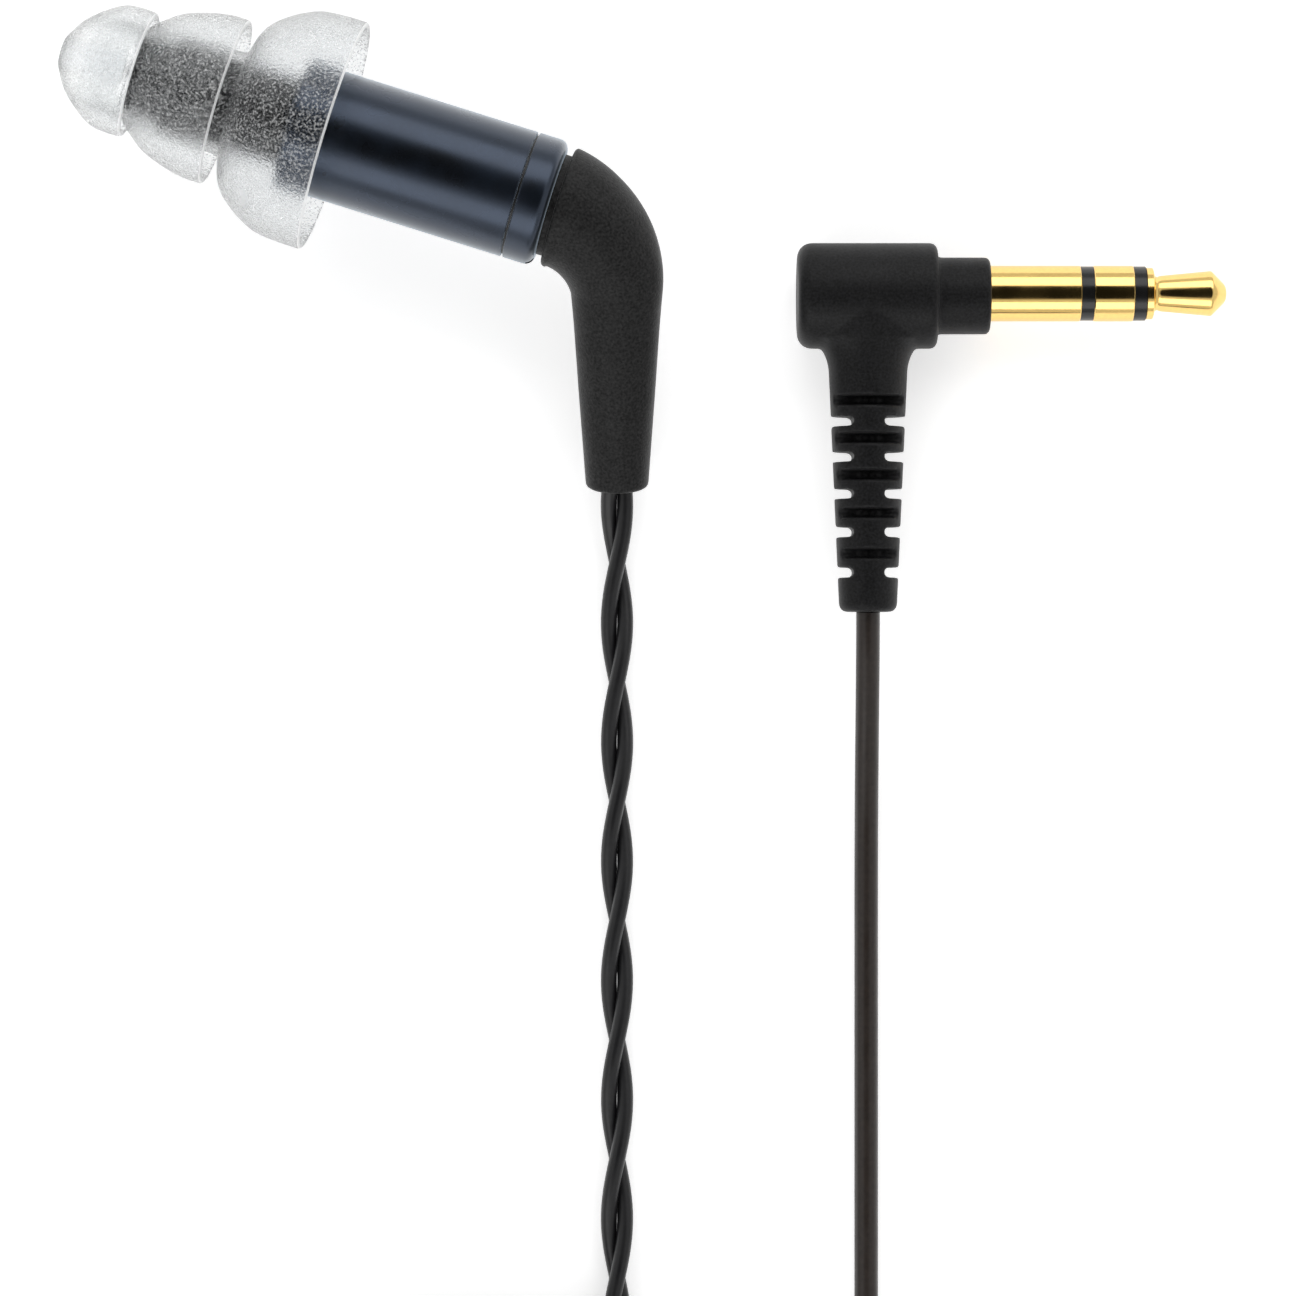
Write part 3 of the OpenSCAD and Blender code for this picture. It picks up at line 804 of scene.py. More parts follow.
    def _until(self, section: Profile, radius: float) -> Profile:
        """Drop the end of a section that would lie inside the stem.

        Args:
            section: A flange's section, from root to root.
            radius: The stem's radius there.

        Returns:
            The section up to where it meets the stem.
        """
        rim = max(range(len(section)), key=lambda i: section[i][0])
        kept = list(section[:rim + 1])
        for point in section[rim + 1:]:
            if point[1] < radius:
                break
            kept.append(point)
        kept.append((kept[-1][0] - self.skirt_root, radius))
        return kept

    def nozzle(self) -> bmesh.types.BMesh:
        """Model the nozzle tube with its rounded mouth and root flange.

        Returns:
            The nozzle's mesh.
        """
        mouth = arc((self.nozzle_end + self.mouth_round, self.nozzle_front_r - self.mouth_round),
                    self.mouth_round, 180.0, 90.0)
        root = self.front + self.nozzle_root
        return spun([(self.nozzle_end, self.nozzle_bore), *mouth, (self.nozzle_step, self.nozzle_front_r),
                     (self.nozzle_step, self.nozzle_r), (self.front, self.nozzle_r),
                     (self.front, self.bore_r), (root, self.bore_r), (root, self.nozzle_bore)])

    def barrel(self) -> bmesh.types.BMesh:
        """Model the barrel tube with broken edges.

        Returns:
            The barrel's mesh.
        """
        rear = -self.cap - self.groove
        front_round, seam_round = self.front_round, self.seam_round
        return spun([(self.front, self.bore_r),
                     *arc((self.front + front_round, self.barrel_r - front_round), front_round, 180.0, 90.0),
                     *arc((rear - seam_round, self.barrel_r - seam_round), seam_round, 90.0, 0.0, 3),
                     (rear, self.bore_r)], 128)

    def gasket(self) -> bmesh.types.BMesh:
        """Model the thin dark gasket in the seam between barrel and end cap.

        Returns:
            The gasket's mesh.
        """
        front, rear = -self.cap - self.groove + self.gasket_play, -self.cap - self.gasket_play
        bore, top = self.bore_r + self.gasket_play, self.barrel_r - self.groove_depth
        return spun([(front, bore), (front, top), (rear, top), (rear, bore)])

    def end_cap(self) -> bmesh.types.BMesh:
        """Model the end cap with its rounded rear edge and pry notch.

        Returns:
            The cap's mesh.
        """
        seam_round, cap_round = self.seam_round, self.cap_round
        outline = [(-self.cap_spigot, self.socket_r), (-self.cap_spigot, self.bore_r),
                   (-self.cap, self.bore_r),
                   *arc((-self.cap + seam_round, self.barrel_r - seam_round), seam_round, 180.0, 90.0, 3),
                   *arc((-cap_round, self.barrel_r - cap_round), cap_round, 90.0, 0.0, 8),
                   (0.0, self.socket_r)]
        notch = box((-0.45, -self.barrel_r - 0.4, -0.5), (0.12, -self.barrel_r + 0.5, 0.5))
        return cut(spun(outline, 128), notch)


# ---------------------------------------------------------------- swivel lead


@dataclass
class SwivelLead:
    """The grained elbow on the end of a branch, with its coaxial plug."""

    side: str
    gap: float = 0.45
    edge: float = 0.3
    bend_r: float = 5.7
    bend_deg: float = 73.4
    bend_power: float = 1.15
    bend_steps: int = 24
    fan_deg: float = 24.0
    fan_steps: int = 8
    leg: float = 12.48
    droop_deg: float = 17.9
    face_r: float = 3.8
    boss: tuple[float, float] = (0.03, 3.2)
    bend_end_r: float = 2.85
    leg_profile: Profile = field(default_factory=lambda: [
        (0.0, 2.85), (0.18, 2.66), (0.52, 2.38), (0.8, 2.13), (0.97, 1.98)])
    foot_round: float = 0.35

    def build(self, maker: Maker) -> None:
        """Build the elbow and dress the metal pieces.

        Args:
            maker: Where the pieces are handed over.
        """
        place = maker.seat(self.side) @ Matrix.Rotation(math.radians(self.droop_deg), 4, "X")
        maker.add(finished(f"elbow_moulding_{self.side}", self.elbow(), place, sharp_deg=50.0),
                  "cable", GRAINED_RUBBER, f"elbow_{self.side}")
        for node, finish in (("coax_shell", GOLD), ("coax_insulator", WHITE_INSULATOR), ("coax_pin", GOLD),
                             ("snap_ring", BRIGHT_STEEL)):
            maker.dress_node(f"{node}_{self.side}", finish)

    def elbow(self) -> bmesh.types.BMesh:
        """Model the rounded face, the bend and the tapering leg as one loft.

        Returns:
            The elbow's mesh.
        """
        forward = Vector((1, 0, 0))
        boss_x, boss_r = self.boss
        rings = [Ring(Vector((x, 0, 0)), boss_r, forward) for x in (boss_x, self.gap)]
        for turn in (0.0, 22.0, 45.0, 68.0):
            a = math.radians(turn)
            rings.append(Ring(Vector((self.gap + self.edge * (1 - math.cos(a)), 0, 0)),
                              self.face_r - self.edge + self.edge * math.sin(a), forward))
        rings += [self._fan_ring(self.fan_deg * i / self.fan_steps) for i in range(self.fan_steps)]
        rings += [self._bend_ring(self.fan_deg + (self.bend_deg - self.fan_deg) * i / self.bend_steps)
                  for i in range(self.bend_steps)]
        end = self._bend_ring(self.bend_deg)
        taper = smooth_profile(self.leg_profile, 6)
        rings += [Ring(end.centre + end.ahead * self.leg * share, radius, end.ahead)
                  for share, radius in taper]
        foot_r = self.leg_profile[-1][1]
        start = self.leg - self.foot_round
        for turn in (22.0, 45.0, 68.0, 90.0):
            a = math.radians(turn)
            rings.append(Ring(end.centre + end.ahead * (start + self.foot_round * math.sin(a)),
                              foot_r - self.foot_round * (1 - math.cos(a)), end.ahead))
        return lofted(rings, 72)

    def _bend_radius(self, degrees: float) -> float:
        """Give the elbow's radius on its bend.

        Args:
            degrees: How far round the bend.

        Returns:
            The radius.
        """
        share = (degrees / self.bend_deg) ** self.bend_power
        return self.face_r - (self.face_r - self.bend_end_r) * share

    def _bend_ring(self, degrees: float) -> Ring:
        """Give a ring on the bend.

        Args:
            degrees: How far round the bend.

        Returns:
            The ring.
        """
        a = math.radians(degrees)
        centre = Vector((self.bend_r * math.sin(a), -self.bend_r * (1 - math.cos(a)), 0))
        return Ring(centre, self._bend_radius(degrees), Vector((math.cos(a), -math.sin(a), 0)))

    def _fan_ring(self, degrees: float) -> Ring:
        """Give a ring between the flat face and the bend, turned about a pivot beside the face.

        Args:
            degrees: How far it has turned.

        Returns:
            The ring.
        """
        a, full = math.radians(degrees), math.radians(self.fan_deg)
        from_centre = Vector((self.gap + self.edge, (self.gap + self.edge) / math.tan(full)))
        away = Vector((math.sin(a), math.cos(a)))
        along = from_centre.dot(away)
        outer = self.bend_r + self._bend_radius(degrees)
        far = math.sqrt(along ** 2 - from_centre.length_squared + outer ** 2) - along
        near_face = self.bend_r - from_centre.y - self.face_r
        near_bend = self.bend_r - self._bend_radius(self.fan_deg) - from_centre.length
        near = near_face + (near_bend - near_face) * degrees / self.fan_deg
        middle = from_centre + away * (near + far) / 2
        centre = Vector((middle.x, middle.y - self.bend_r, 0))
        return Ring(centre, (far - near) / 2, Vector((math.cos(a), -math.sin(a), 0)))


# ---------------------------------------------------------------- cords


@dataclass(frozen=True)
class Coil:
    """A round coil of neat turns: its slots from outside in, and its layers."""

    centre: tuple[float, float]
    slots: tuple[float, ...]
    base: float
    pitch: float

    def station(self, bearing: float, slot: float, layer: float) -> Vector:
        """Give a point of a turn.

        Args:
            bearing: The clockwise bearing in degrees, from +X.
            slot: Which slot, counted from outside; a fraction is between two.
            layer: Which layer, counted from below; a fraction is between two.

        Returns:
            The point.
        """
        outer, inner = self.slots[0], self.slots[-1]
        share = slot / (len(self.slots) - 1)
        radius = outer + (inner - outer) * share
        a = math.radians(-bearing)
        return Vector((self.centre[0] + radius * math.cos(a), self.centre[1] + radius * math.sin(a),
                       self.base + self.pitch * layer))

    def turns(self, start: float, plan: Sequence[tuple[float, int, int]]) -> list[Vector]:
        """Wind turns by a plan.

        Args:
            start: The bearing where the cord comes in.
            plan: Sweeps in degrees, each ending in a slot and a layer.

        Returns:
            Points every 10 degrees or so.
        """
        points = []
        bearing = start
        slot, layer = plan[0][1], plan[0][2]
        for sweep, to_slot, to_layer in plan:
            steps = max(3, round(sweep / 10))
            for i in range(steps):
                t = i / steps
                ease = t * t * (3 - 2 * t)
                points.append(self.station(bearing + sweep * t, slot + (to_slot - slot) * ease,
                                           layer + (to_layer - layer) * ease))
            bearing += sweep
            slot, layer = to_slot, to_layer
        points.append(self.station(bearing, slot, layer))
        return points


PAIR_COIL = Coil((0.0, -21.2), (12.85, 10.75), 1.45, 2.1)
MAIN_COIL = Coil((39.1, -34.0), (10.5, 9.0, 7.5), 1.15, 1.5)
# The degrees in which a turn moves to the next slot, and climbs to the next layer.
SHIFT, RISE = 47, 80
LEFT_TURNS = ((280, 0, 0), (SHIFT, 1, 0), (233, 1, 0), (RISE, 1, 1), (SHIFT, 0, 1), (303, 0, 1))
RIGHT_TURNS = ((280, 0, 2), (SHIFT, 1, 2), (233, 1, 2), (RISE, 1, 3), (180, 1, 3), (SHIFT, 0, 3), (303, 0, 3))
MAIN_TURNS = (
    (280, 0, 0), (SHIFT, 1, 0), (313, 1, 0), (SHIFT, 2, 0), (233, 2, 0), (RISE, 2, 1),
    (233, 2, 1), (SHIFT, 1, 1), (313, 1, 1), (SHIFT, 0, 1), (233, 0, 1), (RISE, 0, 2),
    (127, 0, 2), (SHIFT, 1, 2), (313, 1, 2), (SHIFT, 2, 2), (233, 2, 2), (RISE, 2, 3),
    (233, 2, 3), (SHIFT, 1, 3), (313, 1, 3), (SHIFT, 0, 3), (233, 0, 3), (RISE, 0, 4), (207, 0, 4),
)

# The listed stretches of each cord, in millimetres, before and after its coil.
ROUTE_LEFT = [
    (12.9, 47.5, 2.38), (12.9, 45.4, 1.75), (12.9, 43.4, 1.27), (12.9, 41, 1.07), (12.9, 37, 1.05),
    (12.9, 31, 1.05), (12.9, 25, 1.05), (12.9, 19, 1.05), (12.9, 13, 1.05), (12.9, 6, 1.05),
    (12.9, 0, 1.05), (12.9, -6, 1.05), (12.9, -11, 1.1), (12.9, -15, 1.2),
]
ROUTE_RIGHT = [
    (-12.9, -47.5, 2.38), (-12.9, -45.4, 1.75), (-12.9, -43.2, 1.4), (-12.9, -40, 1.7),
    (-12.9, -36, 2.5), (-12.9, -32, 3.6), (-12.9, -28, 4.7),
]
ROUTE_LEFT_TAIL = [
    (6, -8.35, 3.55), (9.4, -8.35, 3.55), (12.8, -8.95, 3.5), (15.8, -10.7, 3.4), (18.1, -13.35, 2.9),
    (19.2, -16.6, 2.4), (19.4, -20, 2.0), (19.4, -24, 1.8), (19.4, -29, 1.8), (19.4, -34, 1.8),
    (19.4, -38, 1.8), (19.4, -42.5, 1.8),
]
ROUTE_RIGHT_TAIL = [
    (6, -8.35, 7.75), (9.4, -8.35, 7.6), (13.5, -9.1, 7.1), (17.2, -11.2, 6.0), (19.9, -14.4, 4.8),
    (21.2, -17.8, 3.5), (21.5, -21, 2.4), (21.5, -24.5, 1.8), (21.5, -29, 1.8), (21.5, -34, 1.8),
    (21.5, -38, 1.8), (21.5, -42.5, 1.8),
]
ROUTE_MAIN = [
    (20.45, -54.5, 1.8), (20.45, -55.8, 1.7), (20.5, -57, 1.5), (21, -59, 1.2), (22.5, -60.5, 0.9),
    (24.5, -61, 0.8), (26.5, -60.5, 0.75), (28, -59, 0.75), (28.6, -57, 0.75), (28.6, -53, 0.75),
    (28.6, -48, 0.75), (28.6, -43, 0.85), (28.6, -39.5, 1.0),
]
ROUTE_PLUG = [
    (28.6, -29, 6.8), (28.6, -25, 5.8), (28.6, -20, 4.2), (28.6, -15, 2.5), (28.6, -11, 1.4),
    (28.6, -7, 0.85), (28.6, -2, 0.75), (28.6, 4, 0.75), (28.6, 10, 0.75), (28.6, 16, 0.75),
    (28.6, 21, 0.75), (28.6, 26, 1.0), (28.6, 30.5, 1.7), (28.6, 34.5, 2.55), (28.6, 37.5, 3.12),
    (28.6, 39.5, 3.3),
]


@dataclass
class Cord:
    """One free cord, from its exit through its coil to what it ends in."""

    name: str
    route: Route
    coil: Coil
    start: float
    plan: tuple[tuple[float, int, int], ...]
    tail: Route
    diameter: float
    step: float = 0.5
    pitch: float = 15.0
    first_crossing: float = 5.1
    strand_play: float = 0.005

    def line(self) -> list[Vector]:
        """Join route, coil and tail into one evenly spaced line.

        Returns:
            The line's points.
        """
        points = [*map(Vector, self.route), *self.coil.turns(self.start, self.plan), *map(Vector, self.tail)]
        dense = [Vector(p) for p in smooth_profile([tuple(p) for p in points], 10)]
        even = [dense[0]]
        left = self.step
        for a, b in zip(dense, dense[1:]):
            span = (b - a).length
            while span >= left:
                a = a + (b - a) * (left / span)
                span -= left
                even.append(a)
                left = self.step
            left -= span
        even.append(dense[-1])
        return even

    def strand(self, line: Sequence[Vector], offset: float, phase: float, radius: float) -> bmesh.types.BMesh:
        """Sweep one strand that winds about the line.

        Args:
            line: The cord's centre line.
            offset: How far the strand's axis is from it.
            phase: The strand's bearing about the line, in degrees, at the exit.
            radius: The strand's radius.

        Returns:
            The strand's mesh.
        """
        curve = bpy.data.curves.new(self.name, "CURVE")
        curve.dimensions = "3D"
        curve.bevel_depth = radius
        curve.bevel_resolution = 4
        curve.use_fill_caps = True
        spline = curve.splines.new("POLY")
        spline.points.add(len(line) - 1)
        for i, frame in enumerate(ring_frames(line)):
            turn = math.radians(phase + 360.0 * i * self.step / self.pitch)
            point = frame @ Vector((offset * math.cos(turn), offset * math.sin(turn), 0.0))
            spline.points[i].co = (*point, 1.0)
        carrier = bpy.data.objects.new(self.name, curve)
        bpy.context.scene.collection.objects.link(carrier)
        mesh = bpy.data.meshes.new_from_object(carrier.evaluated_get(bpy.context.evaluated_depsgraph_get()))
        made = bmesh.new()
        made.from_mesh(mesh)
        bmesh.ops.remove_doubles(made, verts=made.verts, dist=1e-4)
        bmesh.ops.recalc_face_normals(made, faces=made.faces)
        bpy.data.objects.remove(carrier)
        bpy.data.meshes.remove(mesh)
        return made

    def build(self, maker: Maker, twisted: bool, finish: Finish,
              nodes: Sequence[str]) -> tuple[bpy.types.Object, Route]:
        """Build the cord as one piece.

        Args:
            maker: Where the piece is handed over.
            twisted: Whether it is a twisted pair or a plain cord.
            finish: Its finish.
            nodes: The CAD tubes and coils that it replaces.

        Returns:
            The piece, and its centre line in metres.
        """
        line = self.line()
        if twisted:
            strand_r = self.diameter / 4
            phase = 90.0 - 360.0 * self.first_crossing / self.pitch
            shells = [self.strand(line, strand_r, phase + turn, strand_r - self.strand_play)
                      for turn in (0.0, 180.0)]
        else:
            shells = [self.strand(line, 0.0, 0.0, self.diameter / 2)]
        piece = maker.add(finished(self.name, merged(shells), sharp_deg=80.0), "cable", finish, *nodes)
        return piece, [tuple(p * MM) for p in line]


# ---------------------------------------------------------------- ties, splitter, slider


@dataclass
class SmallWare:
    """The splitter, the chin slider and the straps round the coils."""

    trunk_x: float = 20.45
    height: float = 1.8
    top_y: float = -42.5
    width: float = 6.8
    thick: float = 3.6
    splitter_l: float = 12.0
    slider_l: float = 8.0
    slider_gap: float = 0.5
    slot_w: float = 4.5
    slot_t: float = 2.4
    cutter_past: float = 2.0
    grooves: int = 4
    groove_from: float = 3.6
    groove_pitch: float = 1.6
    groove_w: float = 0.4
    groove_depth: float = 0.15
    strap_t: float = 0.4
    strap_w: float = 5.0
    pair_section: tuple[float, float, float] = (9.7, 13.9, 8.4)
    main_section: tuple[float, float, float] = (6.75, 11.25, 7.5)

    def build(self, maker: Maker) -> None:
        """Build and hand over all of them.

        Args:
            maker: Where the pieces are handed over.
        """
        maker.add(finished("splitter_body", self.splitter(), sharp_deg=40.0), "cable", SPLITTER_BLACK,
                  "splitter_shell", "splitter_core")
        maker.add(finished("slider_body", self.slider(), sharp_deg=40.0), "chin_slider", SPLITTER_BLACK,
                  "chin_slider")
        for kind, coil, section, first in (("pair", PAIR_COIL, self.pair_section, 45.0),
                                           ("main", MAIN_COIL, self.main_section, 90.0)):
            bands = [self.strap(coil, section, first + turn) for turn in (0.0, 180.0)]
            maker.add(finished(f"straps_{kind}", merged(bands), sharp_deg=60.0), "cable", STRAP,
                      f"ties_{kind}")

    def bar(self, top: float, length: float, width: float, thick: float, edge: float) -> bmesh.types.BMesh:
        """Model a bar with round long sides and rounded ends.

        Args:
            top: Its highest Y.
            length: Its length.
            width: Its width in X.
            thick: Its thickness in Z.
            edge: The radius of its end edges.

        Returns:
            The bar.
        """
        bm = bmesh.new()
        end = bmesh.ops.create_circle(bm, cap_ends=True, segments=64, radius=thick / 2)
        for vert in end["verts"]:
            vert.co.x += math.copysign((width - thick) / 2, vert.co.x)
        grown = bmesh.ops.extrude_face_region(bm, geom=bm.faces[:])
        bmesh.ops.translate(bm, vec=(0, 0, length),
                            verts=[g for g in grown["geom"] if isinstance(g, bmesh.types.BMVert)])
        bmesh.ops.recalc_face_normals(bm, faces=bm.faces)
        rims = [e for e in bm.edges if e.calc_face_angle(0.0) > math.radians(60)]
        if edge:
            bmesh.ops.bevel(bm, geom=rims, offset=edge, segments=5, profile=0.5, affect="EDGES", material=-1)
        upright = Matrix.Rotation(math.radians(90), 4, "X")
        place = Matrix.Translation((self.trunk_x, top, self.height)) @ upright
        bmesh.ops.transform(bm, matrix=place, verts=bm.verts)
        return bm

    def splitter(self) -> bmesh.types.BMesh:
        """Model the splitter with its waist and its grip ribs.

        Returns:
            The splitter's mesh.
        """
        body = self.bar(self.top_y, self.splitter_l, self.width, self.thick, 0.6)
        first = self.top_y - self.groove_from
        rings = [self._groove(first - i * self.groove_pitch) for i in range(self.grooves)]
        return cut(body, merged(rings))

    def _groove(self, y: float) -> bmesh.types.BMesh:
        """Model a ring that cuts a shallow groove across the splitter.

        Args:
            y: Where the groove lies.

        Returns:
            The cutting ring.
        """
        past, sunk = self.cutter_past, 2 * self.groove_depth
        outer = self.bar(y + self.groove_w / 2, self.groove_w, self.width + past, self.thick + past, 0.0)
        inner = self.bar(y + self.groove_w, 2 * self.groove_w, self.width - sunk, self.thick - sunk, 0.0)
        return cut(outer, inner)

    def slider(self) -> bmesh.types.BMesh:
        """Model the chin slider, open where the branches pass.

        Returns:
            The slider's mesh.
        """
        top = self.top_y + self.slider_gap + self.slider_l
        body = self.bar(top, self.slider_l, self.width, self.thick, 0.5)
        past = self.cutter_past
        return cut(body, self.bar(top + past / 2, self.slider_l + past, self.slot_w, self.slot_t, 0.0))

    def strap(self, coil: Coil, section: tuple[float, float, float], bearing: float) -> bmesh.types.BMesh:
        """Model a strap that goes once round a coil's section.

        Args:
            coil: The coil that it ties.
            section: The coil's inside radius, outside radius and height.
            bearing: Where the strap sits, in degrees from +X.

        Returns:
            The strap's mesh.
        """
        inner, outer, height = section
        t, w = self.strap_t, self.strap_w
        shell = box((inner - t, -w / 2, 0.0), (outer + t, w / 2, height + 2 * t))
        edges = [e for e in shell.edges if abs(e.verts[0].co.y - e.verts[1].co.y) > w / 2]
        bmesh.ops.bevel(shell, geom=edges, offset=0.6, segments=5, profile=0.5, affect="EDGES", material=-1)
        hole = box((inner, -w, t), (outer, w, height + t))
        edges = [e for e in hole.edges if abs(e.verts[0].co.y - e.verts[1].co.y) > w]
        bmesh.ops.bevel(hole, geom=edges, offset=0.3, segments=5, profile=0.5, affect="EDGES", material=-1)
        band = cut(shell, hole)
        turn = Matrix.Translation((*coil.centre, 0)) @ Matrix.Rotation(math.radians(bearing), 4, "Z")
        bmesh.ops.transform(band, matrix=turn, verts=band.verts)
        return band


# ---------------------------------------------------------------- plug


@dataclass
class StereoPlug:
    """The right-angle plug: overmoulding, strain relief and gold contacts."""

    pin_y: float = 59.4
    pin_z: float = 3.3
    pin_r: float = 1.75
    head_from: float = 24.16
    head_to: float = 32.91
    head_y: float = 59.25
    head_r: float = 3.3
    head_round: float = 0.9
    face_round: float = 0.45
    collar_r: float = 2.4
    collar_end: float = 36.2
    collar_round: float = 0.3
    sleeve_end: float = 41.85
    ring_from: float = 42.65
    ring_to: float = 45.15
    tip_from: float = 45.9
    flange: tuple[float, float] = (31.0, 32.0)
    flange_r: float = 2.3
    sleeve_bore: float = 1.3
    ring_tube: float = 1.0
    ring_bore: float = 0.7
    ring_root: float = 30.4
    rod_r: float = 0.4
    tip_root: float = 29.8
    insulator_wall: float = 0.3
    insulator_sunk: float = 0.05
    lip: float = 0.06
    disc_r: float = 1.62
    disc_end: float = 46.39
    neck: Profile = field(default_factory=lambda: [(46.5, 1.12), (46.65, 1.05), (46.85, 1.12)])
    nose: Profile = field(default_factory=lambda: [
        (49.85, 1.41), (50.0, 1.42), (50.08, 1.38), (50.84, 0.62), (50.95, 0.42), (50.98, 0.3)])
    relief_x: float = 28.6
    relief_top: float = 56.6
    relief_end: float = 39.5
    relief_top_r: float = 2.55
    relief_end_r: float = 1.8
    relief_root: float = 1.5
    relief_round: float = 0.45
    core: float = 1.9
    slot_w: float = 0.62
    side_slots: tuple[float, ...] = (41.96, 44.48, 46.87, 49.17, 51.39)
    face_slots: tuple[float, ...] = (43.12, 45.65, 48.02, 50.31, 52.67)
    flare_top: float = 56.5
    flare_end: float = 54.3
    flare_w: float = 1.5
    flare_sunk: float = 0.1
    loft_steps: int = 24
    ridge_z: float = 0.85
    ridge_r: float = 0.3
    ridge_aside: float = 0.42
    ridge_past: float = 0.6
    voxel: float = 0.11

    def build(self, maker: Maker) -> list[bpy.types.Object]:
        """Build and hand over the plug's pieces.

        Args:
            maker: Where the pieces are handed over.

        Returns:
            The pieces that lie on the cord.
        """
        place = Matrix.Translation((0, self.pin_y, self.pin_z))
        made = [
            maker.add(finished("overmoulding", self.overmould(), sharp_deg=80.0), "cable", PLUG_BLACK,
                      "plug_overmould"),
            maker.add(finished("sleeve_contact", self.sleeve(), place), "cable", GOLD, "plug_sleeve"),
            maker.add(finished("ring_contact", self.ring(), place), "cable", GOLD, "plug_ring"),
            maker.add(finished("tip_contact", self.tip(), place), "cable", GOLD, "plug_tip"),
            maker.add(finished("rear_ring", self.insulator(self.ring_tube, self.sleeve_end, self.ring_from),
                               place), "cable", RING_BLACK, "plug_rear_insulator"),
            maker.add(finished("front_ring", self.insulator(self.rod_r, self.ring_to, self.tip_from), place),
                      "cable", RING_BLACK, "plug_front_insulator"),
        ]
        maker.dress_node("plug_solder_tags", TINNED)
        maker.dress_node("plug_conductors", ENAMEL)
        return made

    def overmould(self) -> bmesh.types.BMesh:
        """Model head, collar and slotted strain relief as one soft-edged moulding.

        Returns:
            The overmoulding's mesh.
        """
        back, face, collar = self.head_round, self.face_round, self.collar_round
        head = spun([(self.head_from, 0.0),
                     *arc((self.head_from + back, self.head_r - back), back, 180.0, 90.0, 8),
                     *arc((self.head_to - face, self.head_r - face), face, 90.0, 0.0, 6),
                     (self.head_to, self.collar_r),
                     *arc((self.collar_end - collar, self.collar_r - collar), collar, 90.0, 0.0, 5),
                     (self.collar_end, 0.0)], 96, closed=False)
        bmesh.ops.translate(head, vec=(0, self.head_y, self.pin_z), verts=head.verts)
        slotted = cut(lofted(self._relief_rings(), 64), self.slot_cutters())
        whole = merged([head, slotted, lofted(self._flare_rings(), 64), *self._wire_ridges()])
        whole = applied(whole, ("REMESH", {"mode": "VOXEL", "voxel_size": self.voxel}),
                        ("SMOOTH", {"factor": 0.5, "iterations": 5}))
        bmesh.ops.recalc_face_normals(whole, faces=whole.faces)
        return whole

    def _relief_rings(self) -> list[Ring]:
        """Give the strain relief's rings, from inside the head to its rounded end.

        Returns:
            The rings.
        """
        down = Vector((0, -1, 0))
        run = self.relief_top - self.relief_end
        edge, root = self.relief_round, self.relief_root
        rings = []
        for i in range(self.loft_steps + 1):
            y = self.relief_top + root - (run + root - edge) * i / self.loft_steps
            share = (self.relief_top - y) / run
            radius = self.relief_top_r + (self.relief_end_r - self.relief_top_r) * max(0.0, share)
            rings.append(Ring(Vector((self.relief_x, y, self.pin_z)), radius, down))
        for turn in (30.0, 60.0, 90.0):
            a = math.radians(turn)
            y = self.relief_end + edge * (1 - math.sin(a))
            rings.append(Ring(Vector((self.relief_x, y, self.pin_z)),
                              self.relief_end_r - edge * (1 - math.cos(a)), down))
        return rings

    def _flare_rings(self) -> list[Ring]:
        """Give the rings of the flare that blends the relief into the head, wide but not tall.

        Returns:
            The rings.
        """
        down = Vector((0, -1, 0))
        narrow = self.relief_top_r - self.flare_sunk
        rings = []
        for i in range(self.loft_steps + 1):
            y = self.head_y - (self.head_y - self.flare_end) * i / self.loft_steps
            share = min(1.0, (self.flare_top - y) / (self.flare_top - self.flare_end))
            spread = self.flare_w * (1 - math.sqrt(max(0.0, 1 - (1 - max(0.0, share)) ** 2)))
            ease = 0.5 + 0.5 * math.cos(math.pi * i / self.loft_steps)
            rise = (self.head_r - self.relief_top_r) * ease
            rings.append(Ring(Vector((self.relief_x, y, self.pin_z)), narrow + spread, down, narrow + rise))
        return rings

    def _wire_ridges(self) -> list[bmesh.types.BMesh]:
        """Model the ridges over the conductors that show at the bottom of the face slots.

        Returns:
            The ridges, two on each face.
        """
        first, last = self.face_slots[0] - self.ridge_past, self.face_slots[-1] + self.ridge_past
        ridges = []
        for face in (-1, 1):
            for aside in (-self.ridge_aside, self.ridge_aside):
                ends = [Vector((self.relief_x + aside, y, self.pin_z + face * self.ridge_z))
                        for y in (first, last)]
                ridges.append(lofted([Ring(end, self.ridge_r, Vector((0, 1, 0))) for end in ends], 16))
        return ridges

    def slot_cutters(self) -> bmesh.types.BMesh:
        """Model the pairs of slots, from the sides and from the faces by turns.

        Returns:
            All the cutters.
        """
        cutters = []
        half, reach = self.core / 2, 4.0
        for side in (-1, 1):
            for y in self.side_slots:
                near, far = sorted((self.relief_x + side * half, self.relief_x + side * reach))
                cutters.append(self._slot((near, y, self.pin_z - reach), (far, y, self.pin_z + reach), "Z"))
            for y in self.face_slots:
                near, far = sorted((self.pin_z + side * half, self.pin_z + side * reach))
                cutters.append(self._slot((self.relief_x - reach, y, near),
                                          (self.relief_x + reach, y, far), "X"))
        return merged(cutters)

